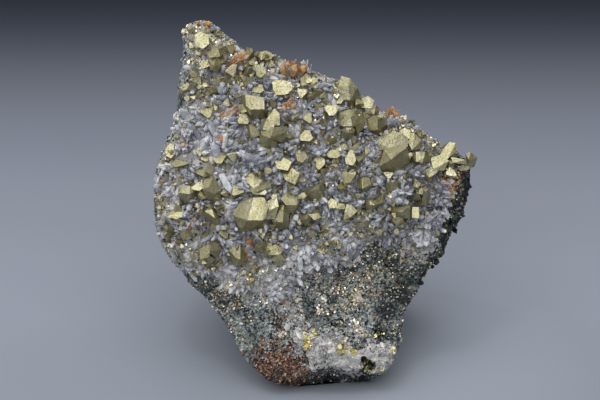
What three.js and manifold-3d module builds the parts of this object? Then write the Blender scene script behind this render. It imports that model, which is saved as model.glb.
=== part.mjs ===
// A chalcopyrite specimen: golden crystals grown with quartz over the front face of a wedge of dark
// sulphide rock, which stands on its broken foot. Millimetres, +Z up, the viewer's side is -Y.
import * as THREE from 'three';
import { ConvexGeometry } from 'three/addons/geometries/ConvexGeometry.js';
import { mergeVertices } from 'three/addons/utils/BufferGeometryUtils.js';
import Module from 'manifold-3d';

const wasm = await Module();
wasm.setup();

// ---- Driving dimensions, in millimetres ----

const FACE_WIDTH = 137; // the crystal face from edge to edge
const FACE_LEAN = THREE.MathUtils.degToRad(30); // how far the face leans back from upright
const FACE_FOOT = new THREE.Vector3(0, -42, 3.5); // where the face's frame starts, above the rest plane
const DOME = 8; // how far the middle of the face stands in front of its edges
const EDGE_DROP = 4; // how far the rock turns back before its sides start
const EDGE_SLOPE = 0.5; // more of that for every grid step that the side wall shows
const BACK_BULGE = 13; // how far the back is rounder than a straight line from edge to foot
const ROUGHNESS = 1.9; // the broken rock's lumps
const FOOT_ROW = 372; // the grid row below which the foot itself is the rock's outline
const CRUST = 4.2; // the quartz druse over the rock
const FOOT_CRUST = 2.6; // the milky quartz at the bottom of the face
const PRISM_COUNT = 18; // quartz prisms big enough to show on the druse
const ROOT = 3.4; // how far down a crystal's corners are carried before the druse cuts it off
const GAP = 0.3; // clearance where two pieces meet

// ---- The plotting grid of the face ----
// Places on the face are plotted in grid steps: u runs to the right and v runs down.

const GRID_WIDTH = 326; // the face's width in steps
const GRID_FOOT = { u: 315, v: 388 }; // the step that lies at FACE_FOOT
const STEP = FACE_WIDTH / GRID_WIDTH;
const MIDDLE = { u: 300, v: 205 };

const ACROSS = new THREE.Vector3(1, 0, 0);
const UPWARD = new THREE.Vector3(0, Math.sin(FACE_LEAN), Math.cos(FACE_LEAN));
const OUTWARD = new THREE.Vector3(0, -Math.cos(FACE_LEAN), Math.sin(FACE_LEAN));

// The rock's outline on the grid, clockwise from the horn: u, v, and the width of side wall that shows.
const OUTLINE = [
  [183, 30, 3], [189, 23, 4], [201, 19, 5], [212, 24, 5], [226, 34, 5], [238, 44, 5], [250, 53, 5],
  [275, 55, 5], [291, 63, 5], [310, 69, 5], [328, 77, 5], [348, 81, 5], [359, 93, 5], [374, 105, 5],
  [387, 114, 5], [402, 117, 5], [415, 123, 5], [427, 133, 5], [440, 144, 5], [453, 151, 5],
  [466, 158, 6], [472, 167, 8], [471, 184, 12], [468, 199, 17], [464, 216, 20], [453, 232, 17],
  [449, 242, 15], [443, 255, 14], [434, 262, 10], [426, 272, 5], [419, 290, 5], [409, 305, 6],
  [402, 320, 6], [401, 338, 6], [397, 357, 6], [386, 371, 7], [376, 378, 8], [362, 379, 9],
  [345, 380, 11], [328, 382, 13], [314, 389, 17], [298, 390, 14], [288, 383, 5], [278, 384, 4],
  [266, 379, 4], [253, 367, 4], [240, 352, 4], [232, 335, 4], [221, 318, 4], [209, 302, 4],
  [195, 289, 4], [184, 275, 4], [171, 261, 4], [160, 242, 4], [155, 225, 4], [153, 203, 4],
  [154, 180, 4], [160, 158, 4], [166, 141, 5], [174, 125, 8], [177, 105, 9], [177, 85, 9],
  [182, 65, 8], [183, 46, 5],
].map(([u, v, wall]) => ({ u, v, wall }));

// The broken foot that the rock stands on, seen from above, in millimetres.
const FOOT_OUTLINE = [
  [-16, -26], [-5, -31], [7, -30], [21, -27], [31, -14], [34, 8], [36, 27], [20, 36], [-8, 38],
  [-28, 33], [-33, 18], [-28, -2], [-22, -18],
].map(([x, y]) => ({ x, y }));

// Lumps and hollows of the rock's face: u, v, radius in steps, height in millimetres.
const LUMPS = [
  [258, 215, 24, 2], [392, 165, 36, 3.5], [205, 60, 30, 2.5], [275, 110, 30, 1.5], [195, 215, 26, 1.5],
  [251, 273, 8, -4], [350, 250, 24, -1.5], [405, 295, 34, -6], [380, 330, 16, -2], [275, 362, 22, 2.5],
  [328, 350, 28, 3], [262, 318, 26, 1.5], [335, 290, 20, -1.5], [196, 268, 20, -1.5],
];

// Holes in the rock: u, v, radius in steps, depth in millimetres.
const HOLES = [
  [363, 361, 5, 6], [369, 366, 6.5, 7], [362, 369, 4, 5], [378, 334, 5.5, 3.5],
];

// The edge of the quartz druse, clockwise from the horn.
const DRUSE_OUTLINE = [
  [187, 33], [191, 26], [201, 22], [211, 27], [224, 37], [236, 47], [249, 56], [275, 58], [290, 66],
  [309, 72], [327, 80], [346, 84], [356, 95], [371, 108], [386, 117], [401, 120], [413, 126],
  [424, 136], [437, 147], [450, 154], [461, 161], [464, 169], [460, 181], [453, 196], [446, 211],
  [438, 230], [434, 246], [411, 236], [388, 240], [368, 244], [350, 256], [334, 264], [312, 266],
  [301, 270], [292, 290], [280, 300], [262, 293], [245, 290], [230, 287], [215, 278], [193, 275],
  [175, 262], [164, 243], [159, 225], [157, 203], [158, 181], [164, 159], [170, 143], [180, 125],
  [186, 105], [186, 85], [190, 65], [188, 47],
].map(([u, v]) => ({ u, v }));
const DRUSE_MIDDLE = { u: 300, v: 170 };

// The edge of the milky quartz at the bottom of the face, clockwise.
const QUARTZ_FOOT_OUTLINE = [
  [290, 331], [299, 327], [309, 334], [320, 337], [332, 339], [342, 348], [356, 351], [372, 344],
  [384, 343], [391, 352], [392, 362], [387, 369], [375, 373], [360, 371], [345, 370], [328, 367],
  [311, 371], [308, 360], [306, 350], [296, 344],
].map(([u, v]) => ({ u, v }));

// ---- Materials ----

const material = (color, roughness, metalness) =>
  new THREE.MeshStandardMaterial({ color, roughness, metalness });
const ROCK = material(0x4d5a58, 0.85, 0);
const QUARTZ = material(0xa9adb8, 0.25, 0);
const MILKY_QUARTZ = material(0xb4b1ab, 0.4, 0);
const STAINED_QUARTZ = material(0xb26a3c, 0.35, 0);
const CHALCOPYRITE = material(0xb8ad72, 0.38, 1);

// ---- Solids ----

// Takes a closed geometry to a solid that can be joined and cut.
function solidOf(geometry) {
  const bare = geometry.clone();
  bare.deleteAttribute('normal');
  bare.deleteAttribute('uv');
  const merged = mergeVertices(bare, 1e-4);
  return new wasm.Manifold(new wasm.Mesh({
    numProp: 3,
    vertProperties: merged.attributes.position.array,
    triVerts: new Uint32Array(merged.index.array),
  }));
}

function geometryOf(solid) {
  const mesh = solid.getMesh();
  const geometry = new THREE.BufferGeometry();
  geometry.setAttribute('position', new THREE.BufferAttribute(mesh.vertProperties, 3));
  geometry.setIndex(new THREE.BufferAttribute(mesh.triVerts, 1));
  geometry.computeVertexNormals();
  return geometry;
}

// A cut can leave a crumb behind, so only the largest body is kept.
function largestBody(solid) {
  return solid.decompose().reduce((a, b) => (a.volume() > b.volume() ? a : b));
}

const joined = (solids) => solids.reduce((whole, next) => whole.add(next));
const without = (solid, cutters) => cutters.reduce((rest, cutter) => rest.subtract(cutter), solid);

// A value from 0 to 1 that looks random and is the same each time.
function scatter(...seeds) {
  const mixed = seeds.reduce((sum, seed, i) => sum + seed * (12.9898 + 65.3 * i), 0);
  const value = Math.sin(mixed) * 43758.5453;
  return value - Math.floor(value);
}

const either = (...seeds) => scatter(...seeds) * 2 - 1;

// Skins a row of rings, from a point on the front to a point at the back. Where spokes share a point,
// the triangles between them close up and are left out.
function loft(rings, front, back) {
  const count = rings[0].length;
  const points = [front, ...rings.flat(), back];
  const at = (ring, spoke) => 1 + ring * count + (spoke % count);
  const index = [];
  const face = (a, b, c) => {
    const shared = [[a, b], [b, c], [c, a]].some(([p, q]) => points[p].equals(points[q]));
    if (!shared) index.push(a, b, c);
  };
  for (let j = 0; j < count; j++) {
    face(0, at(0, j + 1), at(0, j));
    for (let r = 0; r < rings.length - 1; r++) {
      face(at(r, j), at(r, j + 1), at(r + 1, j));
      face(at(r, j + 1), at(r + 1, j + 1), at(r + 1, j));
    }
    face(points.length - 1, at(rings.length - 1, j), at(rings.length - 1, j + 1));
  }
  const geometry = new THREE.BufferGeometry().setFromPoints(points);
  geometry.setIndex(index);
  return geometry;
}

// The spoke that a ring uses: near the middle, where spokes crowd, several share one.
function sharedSpoke(spoke, share) {
  const together = share < 0.3 ? 6 : share < 0.5 ? 3 : share < 0.72 ? 2 : 1;
  return Math.floor(spoke / together) * together;
}

// ---- The face ----

function facePoint(u, v, height) {
  return FACE_FOOT.clone()
    .addScaledVector(ACROSS, (u - GRID_FOOT.u) * STEP)
    .addScaledVector(UPWARD, (GRID_FOOT.v - v) * STEP)
    .addScaledVector(OUTWARD, height);
}

// Where a ray from a start meets a closed outline: the distance along it, in ray lengths.
function reachTo(outline, start, ray, x, y) {
  let reach = Infinity;
  outline.forEach((a, i) => {
    const b = outline[(i + 1) % outline.length];
    const side = { x: b[x] - a[x], y: b[y] - a[y] };
    const to = { x: a[x] - start.x, y: a[y] - start.y };
    const cross = ray.x * side.y - ray.y * side.x;
    const along = (to.x * side.y - to.y * side.x) / cross;
    const share = (to.x * ray.y - to.y * ray.x) / cross;
    if (along > 0 && share >= 0 && share <= 1) reach = Math.min(reach, along);
  });
  return reach;
}

// The rock's height at a place on the face: a dome that falls to its edges, with lumps and hollows.
function rockHeight(u, v) {
  const ray = { x: u - MIDDLE.u || 1e-6, y: v - MIDDLE.v || 1e-6 };
  const share = 1 / reachTo(OUTLINE, { x: MIDDLE.u, y: MIDDLE.v }, ray, 'u', 'v');
  const dome = DOME * (1 - Math.min(share, 1) ** 2.2);
  return LUMPS.reduce((sum, [lumpU, lumpV, radius, height]) => {
    const away = Math.hypot(u - lumpU, v - lumpV) / radius;
    return sum + height * Math.exp(-away * away);
  }, dome);
}

// How much of the druse's full thickness is left, a share of the way from its middle to its edge.
const thinning = (share) => 1 - 0.75 * Math.min(share, 1) ** 6;

// The druse's height at a place on the face.
function druseHeight(u, v) {
  const ray = { x: u - DRUSE_MIDDLE.u || 1e-6, y: v - DRUSE_MIDDLE.v || 1e-6 };
  const share = 1 / reachTo(DRUSE_OUTLINE, { x: DRUSE_MIDDLE.u, y: DRUSE_MIDDLE.v }, ray, 'u', 'v');
  return rockHeight(u, v) + CRUST * thinning(share);
}

// ---- The rock ----

const FACE_RINGS = [0.17, 0.36, 0.53, 0.68, 0.81, 0.92, 1];

// The rings of the sides and back: how far down from the outline, and how far a ledge stands out there.
const BACK_RINGS = [
  [0.11, 0], [0.25, 2.4], [0.3, -1.2], [0.46, 2], [0.52, -1.8], [0.68, 1.6], [0.74, -1.4], [0.9, 1], [1, 0],
];

// One ring of the face, a share of the way from its middle to its edge.
function rockFaceRing(share, grow) {
  return OUTLINE.map((_, spoke) => {
    const j = sharedSpoke(spoke, share);
    const { u, v, wall } = OUTLINE[j];
    const reach = Math.hypot(u - MIDDLE.u, v - MIDDLE.v);
    const out = share * (1 - wall / reach) + (share === 1 ? grow / STEP / reach : 0);
    const rough = share < 1 ? 1 : 0.3;
    const atU = MIDDLE.u + (u - MIDDLE.u) * out + either(j, share) * 1.6 * rough;
    const atV = MIDDLE.v + (v - MIDDLE.v) * out + either(j, share, 2) * 1.6 * rough;
    const lump = either(j, share, 3) * 0.5 * ROUGHNESS * rough;
    return facePoint(atU, atV, rockHeight(atU, atV) + lump + grow);
  });
}

// Holds a point of the sides and back behind the face, so that its outline is the one that shows.
function heldBehind(point, spare, grow) {
  const v = GRID_FOOT.v - point.clone().sub(FACE_FOOT).dot(UPWARD) / STEP;
  if (v > FOOT_ROW || !isInside(OUTLINE, MIDDLE.u, v)) return point;
  const side = Math.sign(point.x - (MIDDLE.u - GRID_FOOT.u) * STEP);
  const room = reachTo(OUTLINE, { x: MIDDLE.u, y: v }, { x: side, y: 0 }, 'u', 'v') - spare;
  const limit = (MIDDLE.u + side * room - GRID_FOOT.u) * STEP + side * grow;
  point.x = side > 0 ? Math.min(point.x, limit) : Math.max(point.x, limit);
  return point;
}

// One ring of the sides and back, a share of the way from the outline to the foot.
function rockBackRing([share, ledge], grow) {
  return OUTLINE.map((_, spoke) => {
    const j = share > 0.2 ? Math.floor(spoke / 2) * 2 : spoke;
    const { u, v, wall } = OUTLINE[j];
    const reach = Math.hypot(u - MIDDLE.u, v - MIDDLE.v);
    const out = 1 + grow / STEP / reach;
    const edge = facePoint(
      MIDDLE.u + (u - MIDDLE.u) * out, MIDDLE.v + (v - MIDDLE.v) * out, -EDGE_DROP - wall * EDGE_SLOPE,
    );
    const turn = { x: (u - MIDDLE.u) / reach, y: (MIDDLE.v - v) / reach };
    const far = reachTo(FOOT_OUTLINE, { x: 0, y: 0 }, turn, 'x', 'y');
    const foot = new THREE.Vector3(turn.x * far, turn.y * far, -2);
    const bulge = BACK_BULGE * (0.5 + 0.5 * turn.y) * Math.sin(Math.PI * share);
    const lump = either(j, share, 5) * ROUGHNESS * Math.min(1, share * 2.5) + ledge * scatter(j, share, 6);
    const point = edge.lerp(foot, share);
    point.x += turn.x * (bulge + lump);
    point.y += turn.y * (bulge + lump);
    point.z += either(j, share, 7) * ROUGHNESS * (share < 1 ? share : 0);
    return share > 0 ? heldBehind(point, 1.5 + 3 * scatter(j, share, 8), grow) : point;
  });
}

// The rock, or the rock with a skin of grow over its face, to cut what grows on it.
function rockBlank(grow) {
  const rings = [
    ...FACE_RINGS.map((share) => rockFaceRing(share, grow)),
    rockBackRing([0, 0], grow),
    ...BACK_RINGS.map((ring) => rockBackRing(ring, grow)),
  ];
  const front = facePoint(MIDDLE.u, MIDDLE.v, rockHeight(MIDDLE.u, MIDDLE.v) + grow);
  return solidOf(loft(rings, front, new THREE.Vector3(0, 0, -2)));
}

// Everything below the rest plane.
function ground() {
  const size = 400;
  return solidOf(new THREE.BoxGeometry(size, size, size).translate(0, 0, -size / 2));
}

function hole([u, v, radius, depth]) {
  const ball = new THREE.IcosahedronGeometry(1, 1).scale(radius * STEP, radius * STEP, depth);
  const place = facePoint(u, v, rockHeight(u, v) + 1);
  ball.rotateX(Math.PI / 2 - FACE_LEAN).translate(place.x, place.y, place.z);
  return solidOf(ball);
}

// ---- Quartz ----

// A layer over part of the face: its top follows the rock, its rim runs down into the rock.
// With grow it is the same layer with a skin of that thickness.
function layer(outline, middle, thickness, rings, rough, grow) {
  const place = (share, spoke, height) => {
    const { u, v } = outline[spoke];
    const wider = share > 0.95 ? grow / STEP / Math.hypot(u - middle.u, v - middle.v) : 0;
    const jog = share < 1 ? rough : 0;
    const atU = middle.u + (u - middle.u) * (share + wider) + either(spoke, share, 11) * jog;
    const atV = middle.v + (v - middle.v) * (share + wider) + either(spoke, share, 12) * jog;
    return facePoint(atU, atV, rockHeight(atU, atV) + height + grow);
  };
  const top = rings.map((share) => outline.map((_, spoke) => {
    const j = sharedSpoke(spoke, share);
    return place(share, j, thickness * (thinning(share) + 0.22 * either(j, share, 13)));
  }));
  const under = outline.map((_, j) => place(0.985, j, -2.5));
  const front = facePoint(middle.u, middle.v, rockHeight(middle.u, middle.v) + thickness + grow);
  const back = facePoint(middle.u, middle.v, rockHeight(middle.u, middle.v) - 3);
  return solidOf(loft([...top, under], front, back));
}

// A six-sided prism with a pointed end. It leans from the face by lean, towards the direction turn.
function prism({ u, v, length, radius, lean, turn, sink = 2.5 }) {
  const profile = [
    new THREE.Vector2(0, -sink),
    new THREE.Vector2(radius, -sink),
    new THREE.Vector2(radius, length - radius * 1.3),
    new THREE.Vector2(0, length),
  ];
  const geometry = new THREE.LatheGeometry(profile, 6);
  const axis = OUTWARD.clone().multiplyScalar(Math.cos(lean))
    .addScaledVector(ACROSS, Math.sin(lean) * Math.cos(turn))
    .addScaledVector(UPWARD, Math.sin(lean) * Math.sin(turn));
  geometry.applyQuaternion(new THREE.Quaternion().setFromUnitVectors(new THREE.Vector3(0, 1, 0), axis));
  const foot = facePoint(u, v, druseHeight(u, v) - 0.6);
  return geometry.translate(foot.x, foot.y, foot.z);
}

function isInside(outline, u, v) {
  let inside = false;
  outline.forEach((a, i) => {
    const b = outline[(i + 1) % outline.length];
    const spans = a.v > v !== b.v > v;
    if (spans && u < a.u + ((v - a.v) / (b.v - a.v)) * (b.u - a.u)) inside = !inside;
  });
  return inside;
}

// Whether a prism from its foot to its tip keeps clear of a round patch of the face.
function isClearOf({ u, v, length, radius, lean, turn }, patch) {
  return [0, 0.5, 1].every((share) => {
    const out = share * length * Math.sin(lean) / STEP;
    const away = Math.hypot(u + out * Math.cos(turn) - patch.u, v - out * Math.sin(turn) - patch.v);
    return away > patch.radius + radius / STEP;
  });
}

// The larger prisms of the druse, spread by a golden-ratio walk in the gaps that taken leaves.
function drusePrisms(taken) {
  const prisms = [];
  for (let i = 1; prisms.length < PRISM_COUNT && i < 4000; i++) {
    const shape = {
      u: 158 + 306 * ((i * 0.754877666) % 1),
      v: 24 + 262 * ((i * 0.569840291) % 1),
      length: 3.2 + 3.2 * scatter(i, 1),
      radius: 1.1 + 0.8 * scatter(i, 2),
      lean: 0.25 + 0.9 * scatter(i, 3),
      turn: Math.PI * 2 * scatter(i, 4),
    };
    const { u, v } = shape;
    if (!isInside(DRUSE_OUTLINE, u + 5, v + 5) || !isInside(DRUSE_OUTLINE, u - 5, v - 5)) continue;
    if (!taken.every((patch) => isClearOf(shape, patch))) continue;
    prisms.push(shape);
    taken.push({ u, v, radius: 4 });
  }
  return prisms;
}

// Single prisms that stand out of the druse by their size.
const TALL_PRISMS = [
  { u: 262, v: 166, length: 10, radius: 2.4, lean: 1.15, turn: 2.6 },
  { u: 190, v: 130, length: 8, radius: 2.2, lean: 0.8, turn: 1.5 },
  { u: 182, v: 122, length: 6, radius: 1.8, lean: 0.9, turn: 2 },
  { u: 303, v: 72, length: 6, radius: 1, lean: 0.9, turn: 1.5 },
  { u: 399, v: 178, length: 5, radius: 1.7, lean: 0.5, turn: -1.2 },
  { u: 428, v: 150, length: 7, radius: 2.2, lean: 0.9, turn: 1.3 },
  { u: 180, v: 250, length: 6, radius: 2.2, lean: 0.7, turn: 2.4 },
  { u: 225, v: 150, length: 7, radius: 2.2, lean: 0.8, turn: 1.2 },
];

// Iron-stained quartz: small groups of prisms, each group one piece.
const STAINED_GROUPS = {
  stained_quartz_top: [
    { u: 230, v: 66, length: 8.5, radius: 1.5, lean: 1.1, turn: 0.65 },
    { u: 236, v: 66, length: 6, radius: 1.3, lean: 0.8, turn: 0.9 },
  ],
  stained_quartz_ridge: [
    { u: 285, v: 76, length: 7, radius: 1.8, lean: 0.7, turn: 1.7 },
    { u: 291, v: 76, length: 8, radius: 1.9, lean: 0.7, turn: 1.1 },
    { u: 298, v: 75, length: 7, radius: 1.7, lean: 0.8, turn: 0.8 },
  ],
  stained_quartz_centre: [
    { u: 283, v: 114, length: 5.5, radius: 1.7, lean: 0.7, turn: 1.3 },
    { u: 287, v: 110, length: 5.5, radius: 1.6, lean: 0.5, turn: 0.7 },
  ],
  stained_quartz_left: [
    { u: 220, v: 118, length: 5.5, radius: 1.5, lean: 1, turn: 0.5 },
    { u: 225, v: 118, length: 5.5, radius: 1.4, lean: 0.9, turn: 0.8 },
  ],
  stained_quartz_right: [
    { u: 390, v: 118, length: 4.5, radius: 1.4, lean: 0.7, turn: 2 },
    { u: 395, v: 118, length: 4, radius: 1.4, lean: 0.6, turn: 1 },
  ],
};

// ---- Chalcopyrite crystals ----
// A crystal is the hull of its corners: u, v, and the height over the druse in millimetres.
// Crystals in one list have grown together into one piece, so each overlaps the next.

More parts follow.
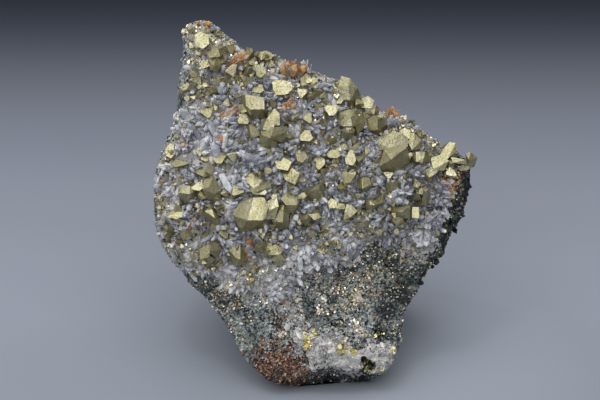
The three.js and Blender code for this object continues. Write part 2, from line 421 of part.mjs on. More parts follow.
const CRYSTALS = {
  left_giant: [
    [
      [233, 214, 2.5], [241, 202, 1.8], [254, 197.5, 4.8], [265, 197.5, 4.5], [268.5, 208, 6],
      [266, 218.5, 8], [263, 220, 9], [248.5, 220, 9.8], [234, 216, 3.2], [237, 225, 1], [241, 232, 0.6],
      [248, 232, 1], [255, 229, 0.6], [262, 224.5, 2.5],
    ],
    [
      [266, 203, 4], [271, 199, 4], [277, 198, 5], [279, 206, 6.5], [275, 219, 5.5], [264, 219, 5],
      [270, 210, 6.5],
    ],
    [
      [279, 205, 4.5], [284, 205, 7], [272, 221, 5], [283, 222, 8], [289, 208, 5], [289, 220, 4.5],
      [277, 227, 2.5], [285, 227, 2.5],
    ],
    [
      [281, 199, 5], [287, 191.5, 3], [298, 195, 3], [301, 200, 3.5], [297, 205, 7], [286, 205, 8],
      [289, 214, 3.5], [297, 210, 3],
    ],
    [[276, 220, 4], [284, 218, 6], [290, 222, 3.5], [287, 229, 1.5], [279, 229, 1.5]],
  ],
  left_giant_crown: [
    [[249, 186, 2], [270, 180.5, 3], [257, 192, 6.5], [251, 192, 5], [272, 187, 3], [266, 192, 3.5]],
    [[247, 174, 2], [255, 172, 2], [263, 181, 3], [254, 189, 5], [246, 181, 3]],
  ],
  right_giant: [
    [
      [378, 167, 5], [383, 150, 5], [404, 145, 6], [390, 160, 9.5], [397, 154, 10.5], [405, 149, 8.5],
      [408, 157, 4], [407, 162, 3.5], [399, 171, 2], [390, 174, 1.5], [381, 172, 1.5], [409, 164, 1],
    ],
    [
      [376, 142, 2.5], [384, 135, 3], [392, 133, 5], [400, 133, 4], [407, 138, 3.5], [407, 147, 5],
      [391, 151, 8], [378, 150, 3.5],
    ],
    [[399, 131, 2], [404, 128, 2], [410, 131, 3], [409, 139, 5], [401, 140, 5]],
    [[409, 133, 2.5], [414, 134, 3], [421, 141, 3], [421.5, 149, 3], [411, 150.5, 6.5], [407, 142, 5]],
  ],
  arch: [
    [
      [409, 154, 2], [415, 152, 4], [424, 152, 4], [429, 156, 2.5], [429, 163, 1.5], [421, 163, 6.5],
      [415, 162, 6.5], [409, 163, 2], [423, 157, 6.5],
    ],
  ],
  top_right: [
    [
      [341, 76, 2], [350, 79, 3], [357, 88, 4], [361, 96, 2], [359, 103, 1.5], [355, 107, 1],
      [350, 106, 2], [339, 100, 4.5], [338, 87, 4], [341, 83, 3.5], [348, 87, 6.5], [350, 101, 7.5],
    ],
  ],
  olive_block: [
    [
      [338, 113, 3], [349, 110, 4], [362, 113, 3], [366, 121, 2], [364, 128, 2], [352, 127, 8.5],
      [342, 127, 7], [336, 124, 3], [350, 118, 8],
    ],
    [
      [341, 131, 4], [345, 127, 5], [352, 127, 6], [355, 131, 5], [354, 136, 3], [349, 140, 3],
      [344, 140, 4], [348, 134, 8.5],
    ],
    [[355, 127, 5], [364, 125, 4], [364, 129, 3], [357, 134, 3.5]],
  ],
  top_wedge: [
    [
      [366, 120, 2.5], [374, 116, 3], [384, 118, 3], [388, 124, 2], [385, 132, 1.5], [377, 135, 2],
      [368, 131, 4.5], [377, 120, 7], [377, 130, 8],
    ],
  ],
  top_rough: [
    [[358, 100, 2], [368, 96, 2], [374, 101, 3], [372, 109, 5.5], [361, 108, 5]],
    [[364, 108, 4], [376, 105, 4], [380, 110, 2.5], [374, 115, 3.5], [366, 114, 3.5]],
  ],
  plate: [
    [
      [272, 83, 4.5], [277, 80.5, 4.2], [284, 81, 4.2], [291, 83, 4.5], [293, 87, 5], [292, 91, 5.6],
      [288, 95, 6.3], [284, 96, 6.5], [276, 96, 6.5], [273, 90, 5.6],
    ],
  ],
  upper_block: [
    [
      [245.6, 95.6, 5], [264.4, 98.5, 4.8], [265, 110.5, 8], [251, 110.8, 9], [247, 107, 8.5],
      [267.6, 117.6, 2], [260, 120, 1.5], [252, 121, 2], [242, 104, 2.5], [242, 96, 2],
    ],
  ],
  pale_cluster: [
    [[269, 112, 3], [275, 109, 3], [280, 115, 4.5], [280, 126, 5.5], [271, 127, 6.5], [268, 119, 5.5]],
    [[261, 124, 3], [267, 119, 5], [275, 121, 6], [274, 130, 6.5], [263, 131, 5]],
    [
      [261, 132, 4], [275, 128, 7], [286, 127, 4], [287, 132, 4], [286, 140, 3], [282, 143, 3.5],
      [270, 139, 9], [262, 136, 5],
    ],
    [[260, 136, 4], [270, 139, 8.5], [277, 142, 6], [278, 148, 2.5], [262, 149, 2], [259, 145, 2]],
  ],
  crossed_blade: [
    [[305, 99, 2], [309, 104, 3.5], [323, 92, 4], [319, 88, 3], [312, 97, 7], [318, 92, 6.5]],
    [[306, 91, 2.5], [312, 93, 4.5], [311, 99, 4.5], [305, 97, 2.5]],
    [[319, 96, 3.5], [325, 92, 3.5], [326, 98, 3], [320, 99, 3.5]],
  ],
  ridge_pair: [
    [[300, 79, 2], [306, 74, 2.5], [311, 78, 4.5], [308, 86, 4.5], [301, 86, 3.5]],
    [[309, 81, 3.5], [314, 77, 3], [318, 82, 3.5], [314, 89, 3.5], [308, 87, 4.5]],
  ],
  horn_top: [
    [[195, 36, 3], [201, 33, 3], [209, 36, 4], [210, 45, 6.5], [204, 50, 7], [196, 47, 5]],
  ],
  horn_block: [
    [
      [207, 52, 3], [213, 47, 3], [226, 47, 2.5], [225, 54, 4], [221, 58, 6.5], [210, 59, 6.5],
      [208, 56, 4.5], [219, 51, 6.5],
    ],
    [[210, 63, 3.5], [218, 55, 4], [223, 67, 3], [218, 73, 4.5], [211, 71, 4.5], [215, 67, 7]],
    [[200, 64, 3], [208, 62, 4], [211, 67, 4.5], [203, 70, 4.5]],
  ],
  left_ball: [
    [
      [179, 191, 3.5], [184, 185, 4], [191, 186, 5], [195, 192, 6], [195, 198, 4], [191, 204, 2],
      [185, 205, 2], [180, 200, 3], [180, 193, 7], [191, 194, 8],
    ],
    [[190, 189, 4.5], [198, 183, 3.5], [203, 181, 3], [204, 188, 5], [200, 191, 5.5]],
    [
      [203, 189, 6], [205, 180, 4], [214, 177, 3], [219, 184, 3.5], [222, 190, 4], [221, 200, 3.5],
      [214, 204, 2], [208, 199, 3.5], [210, 187, 8], [215, 194, 8],
    ],
  ],
  left_spine: [
    [
      [210.6, 206, 4], [206, 211, 7], [216, 218, 7.5], [221.5, 222, 4], [218, 225, 2], [208, 220, 2],
      [204, 214, 3], [213, 209, 6.5],
    ],
  ],
  left_shelf: [
    [[166, 214, 3], [174, 210, 3], [182, 210, 4], [183, 215, 5], [178, 219, 5.5], [168, 217, 5]],
  ],
  lower_left_edge: [
    [[163, 227, 2.5], [167, 224, 3], [174, 227, 4], [174, 232, 3], [166, 234, 3], [168, 229, 6]],
  ],
  lower_left_fan: [
    [[213, 240, 4], [219, 243, 4], [222, 249, 4], [217, 258, 3.5], [210, 251, 8.5], [211, 243, 7]],
    [[200, 249, 3], [209, 243, 4], [212, 251, 7], [209, 257, 6], [201, 259, 4.5]],
    [[200, 256, 3.5], [209, 254, 7], [216, 259, 4], [211, 264, 3], [201, 263, 2.5]],
  ],
  lower_left_bar: [
    [
      [228, 247, 3], [235, 245, 5], [241, 245, 7], [248, 256, 4], [247, 264, 2], [236, 266, 2.5],
      [234, 263, 3], [236, 257, 7.5], [241, 259, 7.5], [230, 254, 3],
    ],
  ],
  lower_olive: [
    [
      [255, 245, 4], [260, 242, 4.5], [268, 243, 3], [268, 250, 2.5], [263, 252.5, 2.5], [255, 249, 3.5],
      [260, 247, 7],
    ],
    [[266, 247, 3.5], [276, 244, 4.5], [284, 248, 3.5], [280, 255, 5], [269, 254, 4.5]],
    [[271, 258, 3.5], [280, 253, 5.5], [287, 260, 4], [282, 266, 3.5], [274, 261, 5.5]],
  ],
  striated_wedge: [
    [
      [304, 192, 3], [309, 188, 4], [318, 185, 5], [322, 182, 4], [325, 188, 3], [324, 196, 2],
      [315, 201, 2], [308, 199, 2], [310, 191, 7.5], [319, 188, 7.5],
    ],
  ],
  small_spike: [
    [[336, 187, 4.5], [341, 182, 3], [347, 189, 3.5], [341, 194, 3.5], [340, 189, 7]],
  ],
  cube_crystal: [
    [
      [356, 181, 3], [362, 177, 4.5], [369, 178, 4.5], [370, 185, 5.5], [362, 189, 8], [357, 188, 3.5],
      [372, 187, 2], [364, 192, 2], [361, 179, 6.5],
    ],
  ],
  right_wedge: [
    [
      [364, 199, 2.5], [369, 200, 5.5], [386, 201, 3], [374, 205, 7.5], [373, 209, 4], [366, 210, 2.5],
      [364, 206, 3], [369, 205, 7],
    ],
  ],
  right_olive: [
    [
      [391, 208, 3.5], [399, 205, 3.5], [410, 204, 4], [409, 219, 4.5], [405, 219, 2.5], [391, 217, 2.5],
      [391, 211, 4], [400, 212, 8], [409, 206, 7.5], [400, 215, 7],
    ],
    [[391, 220, 3.5], [394, 216, 4.5], [402, 217, 4.5], [403, 222, 3.5], [396, 225, 3.5]],
    [[411, 207, 5.5], [418, 207, 5.5], [418, 218, 7.5], [411, 218, 7.5], [405, 212, 2.5]],
  ],
  right_tall: [
    [
      [422, 190, 7], [428, 188, 5], [429, 193, 3], [426, 206, 2], [420.5, 205, 3.5], [420, 200, 4],
      [424, 192, 7],
    ],
    [[413, 187, 4.5], [423, 188, 5], [421, 195, 6.5], [416, 193, 7]],
    [[411, 183, 3], [414, 178, 3.5], [420, 184, 4], [417, 188, 6], [412, 187, 4.5]],
    [[411, 197, 3], [417, 190, 7.5], [420, 199, 4.5], [412, 200, 3.5]],
  ],
  centre_kite: [
    [[346, 204, 3.5], [351, 205, 4], [357, 211, 4.5], [350, 217, 6], [343, 220, 5.5], [344, 212, 6]],
    [[335, 209, 5], [338, 203, 3.5], [344, 204, 4.5], [345, 209, 4.5]],
    [[327, 202, 3], [331, 198, 3], [336, 201, 4], [337, 208, 5], [329, 208, 4.5]],
  ],
  centre_low: [
    [[301, 215, 3.5], [309, 212, 4], [311, 218, 4.5], [306, 226, 4], [300, 221, 3.5], [305, 219, 7]],
    [[308, 214, 5], [318, 213, 4], [322, 217, 4], [314, 220, 6]],
  ],
  centre_bright: [
    [[282, 171, 3], [292, 168, 3], [300, 173, 4], [299, 181, 4.5], [295, 185, 6], [285, 180, 6.5]],
    [[275, 161, 3], [284, 158, 3], [292, 162, 4], [288, 171, 6], [277, 169, 5]],
  ],
  far_right_peak: [
    [[465, 154, 3], [470, 152, 3], [477, 158, 2], [474, 167, 1.5], [466, 169, 3.5], [468, 160, 6.5]],
    [[450, 157, 4], [465, 160, 5], [467, 165, 4.5], [452, 163, 6]],
  ],
  right_shoulder: [
    [[430, 158, 3], [440, 155, 3], [448, 161, 4], [443, 171, 4.5], [432, 170, 6]],
    [
      [441, 150, 2.5], [449, 142, 2], [455, 143, 3], [457, 151, 3], [448, 158, 5], [440, 164, 5],
      [437, 157, 4],
    ],
    [[422, 171, 3], [430, 167, 4.5], [437, 171, 4], [433, 175, 5], [428, 178, 5]],
  ],
};

// Smaller crystals in the druse: name, place, width and height on the grid, and how each is turned.
const SMALL_CRYSTALS = [
  ['left_edge_knot', 170, 152, 10, 18, 0.4],
  ['left_pale', 182, 164, 19, 8, 1.2],
  ['upper_left_knot', 207, 114, 13, 12, 2.1],
  ['horn_neck', 196, 73, 8, 13, 0.9],
  ['top_edge_row', 263, 57, 18, 12, 0.2],
  ['top_edge_stack', 261, 73, 11, 17, 1.5],
  ['top_dark', 258, 90, 13, 10, 2.6],
  ['upper_dark', 244, 120, 12, 13, 0.7],
  ['left_middle', 220, 160, 15, 12, 1.9],
  ['fan', 203, 174, 16, 9, 0.1],
  ['middle_left', 239, 191, 13, 11, 1.1],
  ['lower_left_dark', 224, 234, 10, 11, 2.3],
  ['centre_upper', 306, 137, 14, 13, 0.6],
  ['centre_oval', 301, 158, 12, 16, 1.6],
  ['centre_tooth', 307, 119, 10, 13, 2.4],
  ['centre_blade', 321, 164, 10, 17, 1.3],
  ['centre_flat', 333, 155, 15, 10, 2.8],
  ['right_blade', 350, 159, 11, 18, 0.5],
];

// The corners of a chalcopyrite sphenoid, a tetrahedron with its four points cut off.
function sphenoidCorners(cut) {
  const points = [[1, 1, 1], [-1, -1, 1], [-1, 1, -1], [1, -1, -1]].map((p) => new THREE.Vector3(...p));
  return points.flatMap((point) =>
    points.filter((other) => other !== point).map((other) => point.clone().lerp(other, cut)));
}

// A small crystal as corners: one broad facet looks out of the druse and is tipped upward.
function smallCrystal([, u, v, width, height, turn]) {
  const tip = new THREE.Quaternion().setFromEuler(new THREE.Euler(-0.5, 0.25 * Math.sin(turn * 9), 0));
  const stand = new THREE.Quaternion().setFromUnitVectors(
    new THREE.Vector3(1, 1, 1).normalize(), new THREE.Vector3(0, 0, -1),
  );
  const spin = new THREE.Quaternion().setFromAxisAngle(new THREE.Vector3(0, 0, 1), turn);
  const corners = sphenoidCorners(0.24 + 0.06 * Math.sin(turn * 5)).map((corner) =>
    corner.applyQuaternion(stand).applyQuaternion(spin).applyQuaternion(tip));
  const box = new THREE.Box3().setFromPoints(corners);
  const size = box.getSize(new THREE.Vector3());
  const rise = 0.26 * Math.min(width, height) + 2.4;
  return corners.map((corner) => [
    u + (corner.x - box.min.x - size.x / 2) / size.x * width,
    v - (corner.y - box.min.y - size.y / 2) / size.y * height,
    (corner.z - box.min.z) / size.z * (rise + 2) - 2,
  ]);
}

// A crystal's corners as points in space, with a narrower root that holds it in the druse.
function crystalPoints(corners) {
  const midU = corners.reduce((sum, [u]) => sum + u, 0) / corners.length;
  const midV = corners.reduce((sum, [, v]) => sum + v, 0) / corners.length;
  const druse = druseHeight(midU, midV);
  const tops = corners.map(([u, v, rise]) => facePoint(u, v, druse + rise));
  const rootU = 0.68 * Math.max(...corners.map(([u]) => Math.abs(u - midU)));
  const rootV = 0.68 * Math.max(...corners.map(([, v]) => Math.abs(v - midV)));
  const roots = [0, 1, 2, 3, 4].map((i) => {
    const turn = (i / 5) * Math.PI * 2 + midU;
    return facePoint(midU + rootU * Math.cos(turn), midV + rootV * Math.sin(turn), druse - ROOT);
  });
  return [...tops, ...roots];
}

// The same hull with each of its faces moved out by about gap, for the pocket that it sits in.
function grownHull(points, gap) {
  const hull = new ConvexGeometry(points);
  hull.deleteAttribute('normal');
  const merged = mergeVertices(hull, 1e-4);
  merged.computeVertexNormals();
  const { position, normal } = merged.attributes;
  const moved = [];
  for (let i = 0; i < position.count; i++) {
    const point = new THREE.Vector3().fromBufferAttribute(position, i);
    moved.push(point.addScaledVector(new THREE.Vector3().fromBufferAttribute(normal, i), gap * 2));
  }
  return solidOf(new ConvexGeometry(moved));
}

// ---- Assembly ----

const specimen = new THREE.Group();

function addPiece(name, solid, surface) {
  const mesh = new THREE.Mesh(geometryOf(solid), surface);
  mesh.name = name;
  specimen.add(mesh);
}

// Each chalcopyrite piece, as the crystals that have grown together in it.
const goldenPieces = [
  ...Object.entries(CRYSTALS).map(([name, crystals]) => ({ name, crystals })),
  ...SMALL_CRYSTALS.map((small) => ({ name: small[0], crystals: [smallCrystal(small)] })),
];

// The round patch of the face that a crystal covers.
function patchOf(corners) {
  const middle = { u: 0, v: 0 };
  corners.forEach(([u, v]) => {
    middle.u += u / corners.length;
    middle.v += v / corners.length;
  });
  const reach = corners.map(([u, v]) => Math.hypot(u - middle.u, v - middle.v));
  return { ...middle, radius: 0.8 * Math.max(...reach) };
}

const grownPrism = (shape) =>
  prism({ ...shape, length: shape.length + GAP * 3, radius: shape.radius + GAP * 1.7, sink: 2.5 + GAP });

const stainedPrisms = Object.values(STAINED_GROUPS).flat();
const taken = [
  ...goldenPieces.flatMap(({ crystals }) => crystals.map(patchOf)),
  ...stainedPrisms.map(({ u, v, radius }) => ({ u, v, radius: radius / STEP + 4 })),
];
const clearPrisms = [...drusePrisms(taken), ...TALL_PRISMS];

const rockSkin = rockBlank(GAP);
const druseRings = [0.14, 0.31, 0.48, 0.64, 0.79, 0.91, 1];
const druseLayer = (grow) => layer(DRUSE_OUTLINE, DRUSE_MIDDLE, CRUST, druseRings, 2.2, grow);
const druse = joined([druseLayer(0), ...clearPrisms.map((shape) => solidOf(prism(shape)))]);
const druseSkin = joined([
  druseLayer(GAP * 1.3),
  ...clearPrisms.map((shape) => solidOf(grownPrism(shape))),
]);
addPiece('quartz_crust', largestBody(druse.subtract(rockSkin)), QUARTZ);

// What stands on the druse is cut off a little above it, and cut back from what stands there before.
const standing = [rockSkin, druseSkin];
for (const { name, crystals } of goldenPieces) {
  const hulls = crystals.map(crystalPoints);
  const whole = joined(hulls.map((points) => solidOf(new ConvexGeometry(points))));
  addPiece(`chalcopyrite_${name}`, largestBody(without(whole, standing)), CHALCOPYRITE);
  standing.push(...hulls.map((points) => grownHull(points, GAP)));
}

for (const [name, prisms] of Object.entries(STAINED_GROUPS)) {
  const whole = joined(prisms.map((shape) => solidOf(prism(shape))));
  addPiece(name, largestBody(without(whole, standing)), STAINED_QUARTZ);
  standing.push(...prisms.map((shape) => solidOf(grownPrism(shape))));
}

const holes = HOLES.map(hole);
const footRings = [0.3, 0.6, 0.85, 1];
const quartzFoot = layer(QUARTZ_FOOT_OUTLINE, { u: 345, v: 359 }, FOOT_CRUST, footRings, 1.2, 0);
addPiece('quartz_foot', largestBody(without(quartzFoot, [rockSkin, ...holes])), MILKY_QUARTZ);
addPiece('matrix_rock', largestBody(without(rockBlank(0), [ground(), ...holes])), ROCK);

export default specimen;
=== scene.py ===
"""Chalcopyrite crystals on a quartz druse and its sulphide rock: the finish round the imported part.

Shapes are worked out in millimetres in the part's own frame and turned into metres where a mesh is made.
The front face of the rock leans back. Places on it are given on a plotting grid: u to the right, v down,
and a rise out of the face in millimetres.
"""

import math

import bmesh
import bpy
import numpy as np
from mathutils import Matrix, Vector, noise
from mathutils.bvhtree import BVHTree


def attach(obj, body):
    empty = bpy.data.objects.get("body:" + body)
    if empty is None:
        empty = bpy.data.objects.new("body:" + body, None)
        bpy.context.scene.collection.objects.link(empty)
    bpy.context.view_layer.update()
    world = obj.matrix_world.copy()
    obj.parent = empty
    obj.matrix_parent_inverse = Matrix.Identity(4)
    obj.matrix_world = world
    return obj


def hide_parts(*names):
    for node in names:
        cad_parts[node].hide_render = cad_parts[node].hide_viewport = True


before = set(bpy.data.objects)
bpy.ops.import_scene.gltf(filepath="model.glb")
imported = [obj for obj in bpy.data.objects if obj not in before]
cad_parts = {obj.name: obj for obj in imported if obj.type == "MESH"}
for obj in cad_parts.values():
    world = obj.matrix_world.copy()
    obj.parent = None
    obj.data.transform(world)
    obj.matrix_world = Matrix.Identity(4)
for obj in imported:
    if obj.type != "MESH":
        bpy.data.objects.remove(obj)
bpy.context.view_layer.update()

# ---------------------------------------------------------------- driving sizes, millimetres

MM = 0.001

# the front face leans back from its foot, and the plotting grid lies on it
FACE_LEAN = math.radians(30)
FACE_FOOT = np.array((0.0, -42.0, 3.5))
FACE_RIGHT = np.array((1.0, 0.0, 0.0))
FACE_UP = np.array((0.0, math.sin(FACE_LEAN), math.cos(FACE_LEAN)))
FACE_OUT = np.array((0.0, -math.cos(FACE_LEAN), math.sin(FACE_LEAN)))
FACE_WIDTH = 137
FACE_STEPS = 326
GRID_STEP = FACE_WIDTH / FACE_STEPS
GRID_FOOT = (315.0, 388.0)
GRID_MIDDLE = (300.0, 200.0)
GRID_WIDTH = 600

# the height of the shelf that the flat foot stands on
SHELF = 0.0

CAMERA_DISTANCE = 1500.0
SENSOR = 36.0
FLOOR_HALF = 3000.0

# the longest edges of the refined meshes, and how wide a crystal's edges are broken
ROCK_EDGE = 1.7
CRUST_EDGE = 1.6
FOOT_EDGE = 0.7
CRYSTAL_EDGE = 0.8
BEVEL = 0.14
SMALL_BEVEL = 0.08

# angles between two faces: up to EVEN they are one face, over BROKEN their edge is broken, and over
# SHARP it is shaded sharp
EVEN = math.radians(2)
BROKEN = math.radians(15)
SMALL_BROKEN = math.radians(22)
SHARP = math.radians(11)

# the relief of each skin, as the size of its lumps and how far they rise: the rock's lumps and chips,
# the druse bed's sugar, the foot quartz's lumps, and the crystals' growth steps and grit
LUMP_SIZE, LUMP_RISE = 7.0, 0.55
CHIP_SIZE, CHIP_RISE = 2.6, 0.42
SUGAR_SIZE, SUGAR_RISE = 2.4, 0.4
MASS_SIZE, MASS_RISE = 3.2, 0.7
STEP_SIZE, STEP_RISE = 3.2, 0.02
GRIT_SIZE, GRIT_RISE = 0.9, 0.012

# how close over the rock the quartz has to lie to cover it, how far over the face and over a place the
# rays square to the face start, and how far they reach
COVER_REACH = 6.0
OVER_FACE = 60.0
OVER_PLACE = 8.0
LOOK_REACH = 22.0

# how many are strewn of each, before the hidden ones are left out, and how many small crystals fill gaps
PRISM_COUNT = 7800
FAN_COUNT = 420
NUGGET_COUNT = 2100
BLADE_COUNT = 15
FILLING_TRIES = 5000
FILLING = 225

QUARTZ_IOR = 1.544

# ---------------------------------------------------------------- places on the plotting grid
# (u, v, width, height) of the small chalcopyrite crystals that sit between the large ones

SMALL_CRYSTALS = [
    (185, 32, 4, 10), (234, 58, 7, 9), (236, 80, 8, 8), (248, 72, 9, 9), (253, 64, 10, 8),
    (201, 97, 8, 9), (209, 94, 6, 5), (209, 106, 7, 7), (228, 127, 6, 10), (242, 143, 7, 9),
    (241, 160, 6, 6), (200, 153, 7, 8), (206, 160, 7, 9), (191, 212, 8, 5), (198, 216, 9, 4),
    (183, 223, 10, 8), (206, 234, 7, 7), (224, 213, 7, 7), (254, 267, 9, 8), (253, 281, 5, 7),
    (288, 123, 8, 6), (325, 116, 6, 7), (330, 107, 9, 8), (331, 140, 9, 10), (317, 146, 7, 7),
    (335, 164, 9, 9), (355, 147, 9, 8), (356, 164, 8, 8), (345, 172, 8, 8), (322, 231, 7, 7),
    (328, 237, 7, 6), (349, 242, 7, 4), (320, 251, 5, 8), (342, 254, 9, 6), (426, 213, 8, 9),
    (415, 226, 7, 7), (422, 228, 6, 6), (388, 194, 4, 8), (438, 192, 7, 7), (440, 143, 9, 8),
    (450, 147, 8, 10), (448, 169, 9, 7), (457, 168, 9, 8), (466, 168, 7, 7), (412, 122, 6, 6),
    (420, 127, 7, 6), (454, 187, 4, 8), (160, 203, 5, 6), (161, 211, 5, 7), (171, 242, 6, 6),
    (176, 250, 6, 6), (296, 247, 6, 4), (262, 236, 6, 6), (270, 233, 6, 5), (277, 238, 6, 5),
    (358, 224, 6, 5), (365, 227, 6, 5), (372, 230, 6, 5), (246, 273, 5, 5), (196, 84, 7, 6),
    (203, 80, 5, 5), (221, 71, 7, 6), (227, 79, 6, 6), (262, 58, 9, 6), (271, 64, 7, 6),
    (300, 62, 7, 5), (309, 82, 8, 6), (316, 92, 7, 6), (356, 112, 8, 7), (365, 117, 8, 7),
    (372, 112, 6, 6), (381, 118, 7, 6), (392, 132, 8, 6), (426, 137, 6, 5), (434, 152, 6, 5),
    (172, 152, 5, 6), (168, 163, 5, 5), (181, 170, 6, 5), (216, 163, 5, 6), (225, 165, 5, 5),
    (238, 196, 6, 6), (229, 197, 5, 6), (300, 216, 7, 6), (309, 222, 6, 6), (281, 187, 6, 5),
    (341, 118, 6, 6), (350, 131, 7, 6), (364, 155, 6, 6), (301, 135, 6, 6), (310, 160, 6, 6),
    (393, 215, 6, 5), (382, 222, 7, 5), (401, 226, 6, 5), (268, 250, 6, 5), (237, 247, 6, 6),
    (222, 257, 7, 6), (232, 262, 6, 5), (213, 268, 6, 5), (205, 262, 5, 5), (194, 236, 6, 5),
    (194, 31, 6, 7), (206, 31, 8, 6), (213, 40, 6, 6), (199, 50, 6, 5), (190, 44, 5, 7),
    (221, 36, 5, 6), (257, 55, 7, 5), (266, 56, 8, 6), (275, 60, 7, 8), (287, 65, 7, 5),
    (294, 67, 7, 5), (272, 57, 5, 5),
]

# (u, v, reach) where the granular yellow sulphide sits thickest on the druse
GRANULAR = [
    (205, 33, 20), (195, 60, 14), (205, 88, 14), (178, 108, 10), (162, 150, 9), (160, 205, 10),
    (172, 245, 12), (205, 262, 16), (268, 238, 14), (252, 272, 9), (365, 227, 14), (352, 60, 8),
    (410, 125, 18), (445, 160, 18), (300, 95, 10), (270, 60, 14), (325, 240, 10), (225, 85, 10),
    (195, 24, 10), (222, 45, 12), (232, 37, 8), (290, 66, 9), (322, 80, 10), (340, 88, 10),
    (366, 104, 9), (388, 117, 10), (430, 142, 11), (462, 164, 10), (350, 140, 9), (330, 165, 9),
    (300, 216, 9), (392, 216, 9), (240, 78, 9),
]

# (u, v, length, width, turn, tip up) of the quartz crystals that stand out, turned in degrees from right
SINGLE_QUARTZ = [
    (188, 118, 26, 9, 122, 0.30), (195, 130, 20, 8, 128, 0.35), (182, 128, 16, 6, 110, 0.30),
    (193, 65, 10, 5, 80, 0.45), (253, 160, 20, 6, -8, 0.12), (246, 157, 13, 4, -14, 0.15),
    (269, 156, 12, 4, -20, 0.20), (227, 184, 20, 7, -62, 0.15), (233, 200, 16, 5, 78, 0.20),
    (264, 154, 10, 4, 30, 0.25), (398, 173, 13, 6, 12, 0.20),
    (346, 104, 8, 4, 85, 0.4), (283, 248, 9, 4, 65, 0.4), (330, 237, 9, 4, 70, 0.4),
    (300, 262, 14, 6, 100, 0.4), (308, 258, 12, 5, 60, 0.4), (402, 195, 12, 5, 70, 0.35),
    (385, 205, 12, 5, 110, 0.35), (304, 70, 22, 2.2, 94, 0.45), (307, 70, 24, 2, 87, 0.45),
    (310, 72, 18, 1.8, 80, 0.45), (242, 46, 7, 3, 70, 0.4), (247, 50, 8, 3, 60, 0.4),
    (346, 215, 13, 5, 100, 0.3), (338, 208, 12, 5, 70, 0.3), (356, 206, 12, 5, 120, 0.3),
    (206, 143, 16, 8, 60, 0.3), (216, 150, 18, 9, 110, 0.3), (226, 140, 16, 8, 80, 0.3),
]

# (u, v, reach, share) where the druse is milky and massive instead of clear
MILKY = [
    (262, 277, 27, 1.0), (232, 272, 16, 0.8), (190, 253, 14, 0.9), (165, 198, 14, 0.8),
    (215, 146, 22, 0.8), (226, 180, 12, 0.8), (292, 132, 8, 0.8), (340, 243, 20, 0.7),
    (418, 243, 18, 0.6), (176, 160, 14, 0.7), (300, 262, 14, 0.8), (185, 122, 10, 0.8),
    (206, 104, 12, 0.6), (262, 92, 8, 0.5),
]

# (u, v, reach[, share]) where iron has stained the quartz orange
STAINED = [
    (291, 70, 11), (239, 61, 9), (315, 69, 5), (226, 60, 4), (232, 35, 4), (199, 22, 7),
    (222, 34, 6), (224, 115, 8), (285, 109, 7), (329, 109, 4), (313, 130, 5), (227, 141, 6),
    (182, 146, 4), (165, 178, 4), (193, 231, 5), (201, 201, 5), (228, 210, 5), (249, 250, 6),
    (395, 114, 7), (455, 180, 13, 2.2), (303, 241, 7), (328, 242, 8), (437, 180, 4), (411, 187, 3),
    (380, 158, 3), (364, 173, 3), (328, 221, 3), (246, 108, 4),
]

# how far the blades of each packed iron-stained group lean to the right
BLADE_LEAN = {
    "stained_quartz_top": 0.9, "stained_quartz_ridge": 0.1, "stained_quartz_centre": 0.3,
    "stained_quartz_left": 1.0, "stained_quartz_right": 0.0,
}

# (u, v, reach, share) where rust colours the bare rock
RUSTED = [(281, 366, 27, 0.9), (286, 317, 17, 0.35), (360, 300, 12, 0.12), (312, 285, 14, 0.15)]

# (u, v, reach) where rust grains lie on the druse's right rim, under the last crystals
RUSTY_RIM = [(461, 178, 6), (455, 183, 7), (447, 176, 5)]

# (u, v, reach) where small chalcopyrite crystals grow thickest and largest
METAL_RICH = [
    (262, 100, 22), (285, 130, 24), (320, 100, 24), (350, 120, 28), (385, 145, 30), (420, 150, 26),
    (300, 165, 26), (340, 165, 28), (375, 190, 26), (325, 200, 26), (255, 205, 24), (290, 215, 22),
    (190, 190, 24), (215, 205, 18), (180, 215, 14), (222, 252, 11), (240, 258, 9), (215, 60, 18),
    (240, 75, 20), (405, 205, 18), (440, 165, 18), (195, 85, 14), (350, 222, 10), (276, 250, 11),
    (250, 56, 9), (274, 59, 9), (345, 84, 10), (366, 101, 10), (386, 116, 10), (405, 120, 10),
    (425, 134, 10), (445, 149, 10), (466, 160, 9),
]

# (u, v, reach) of the bare rims at the upper left and on the right side, where the rock's edge shows
BARE_RIM = [
    (181, 20, 6), (180, 32, 6), (178, 45, 8), (176, 60, 9), (174, 75, 9), (172, 90, 9), (171, 105, 9),
    (168, 120, 6), (466, 188, 6), (462, 200, 6), (458, 212, 7), (452, 226, 7), (447, 240, 6),
    (441, 254, 6), (436, 262, 5),
]

# (u, v, reach) of the side wall on the right, broken into coarse lumps whose dark grains paint the shade
# of the side turned from the light
SHADED_WALL = [
    (465, 184, 8), (461, 197, 9), (457, 210, 10), (452, 222, 9), (446, 236, 9), (440, 250, 8),
    (432, 262, 8), (424, 276, 7),
]

# (u, v, reach) where pyrite is thickest in the bare rock
PYRITE_RICH = [(395, 258, 26), (365, 285, 20), (345, 300, 14), (230, 292, 14), (400, 240, 14)]

# (u, v, reach, share) where shade is painted into the rock: its right side and lower right flank, turned
# from the light, its pit, and the underside at its foot
PAINTED_SHADE_SPOTS = [
    (464, 180, 24, 1.0), (458, 215, 23, 1.0), (446, 250, 20, 1.0), (430, 280, 14, 1.0),
    (398, 292, 17, 0.9), (388, 312, 14, 0.9), (379, 333, 8, 1.0), (402, 262, 22, 0.7),
    (330, 384, 16, 1.0), (300, 386, 14, 0.9), (360, 384, 16, 1.0), (366, 365, 8, 1.0),
    (216, 290, 14, 0.5), (272, 384, 12, 0.6), (208, 300, 10, 0.4),
]

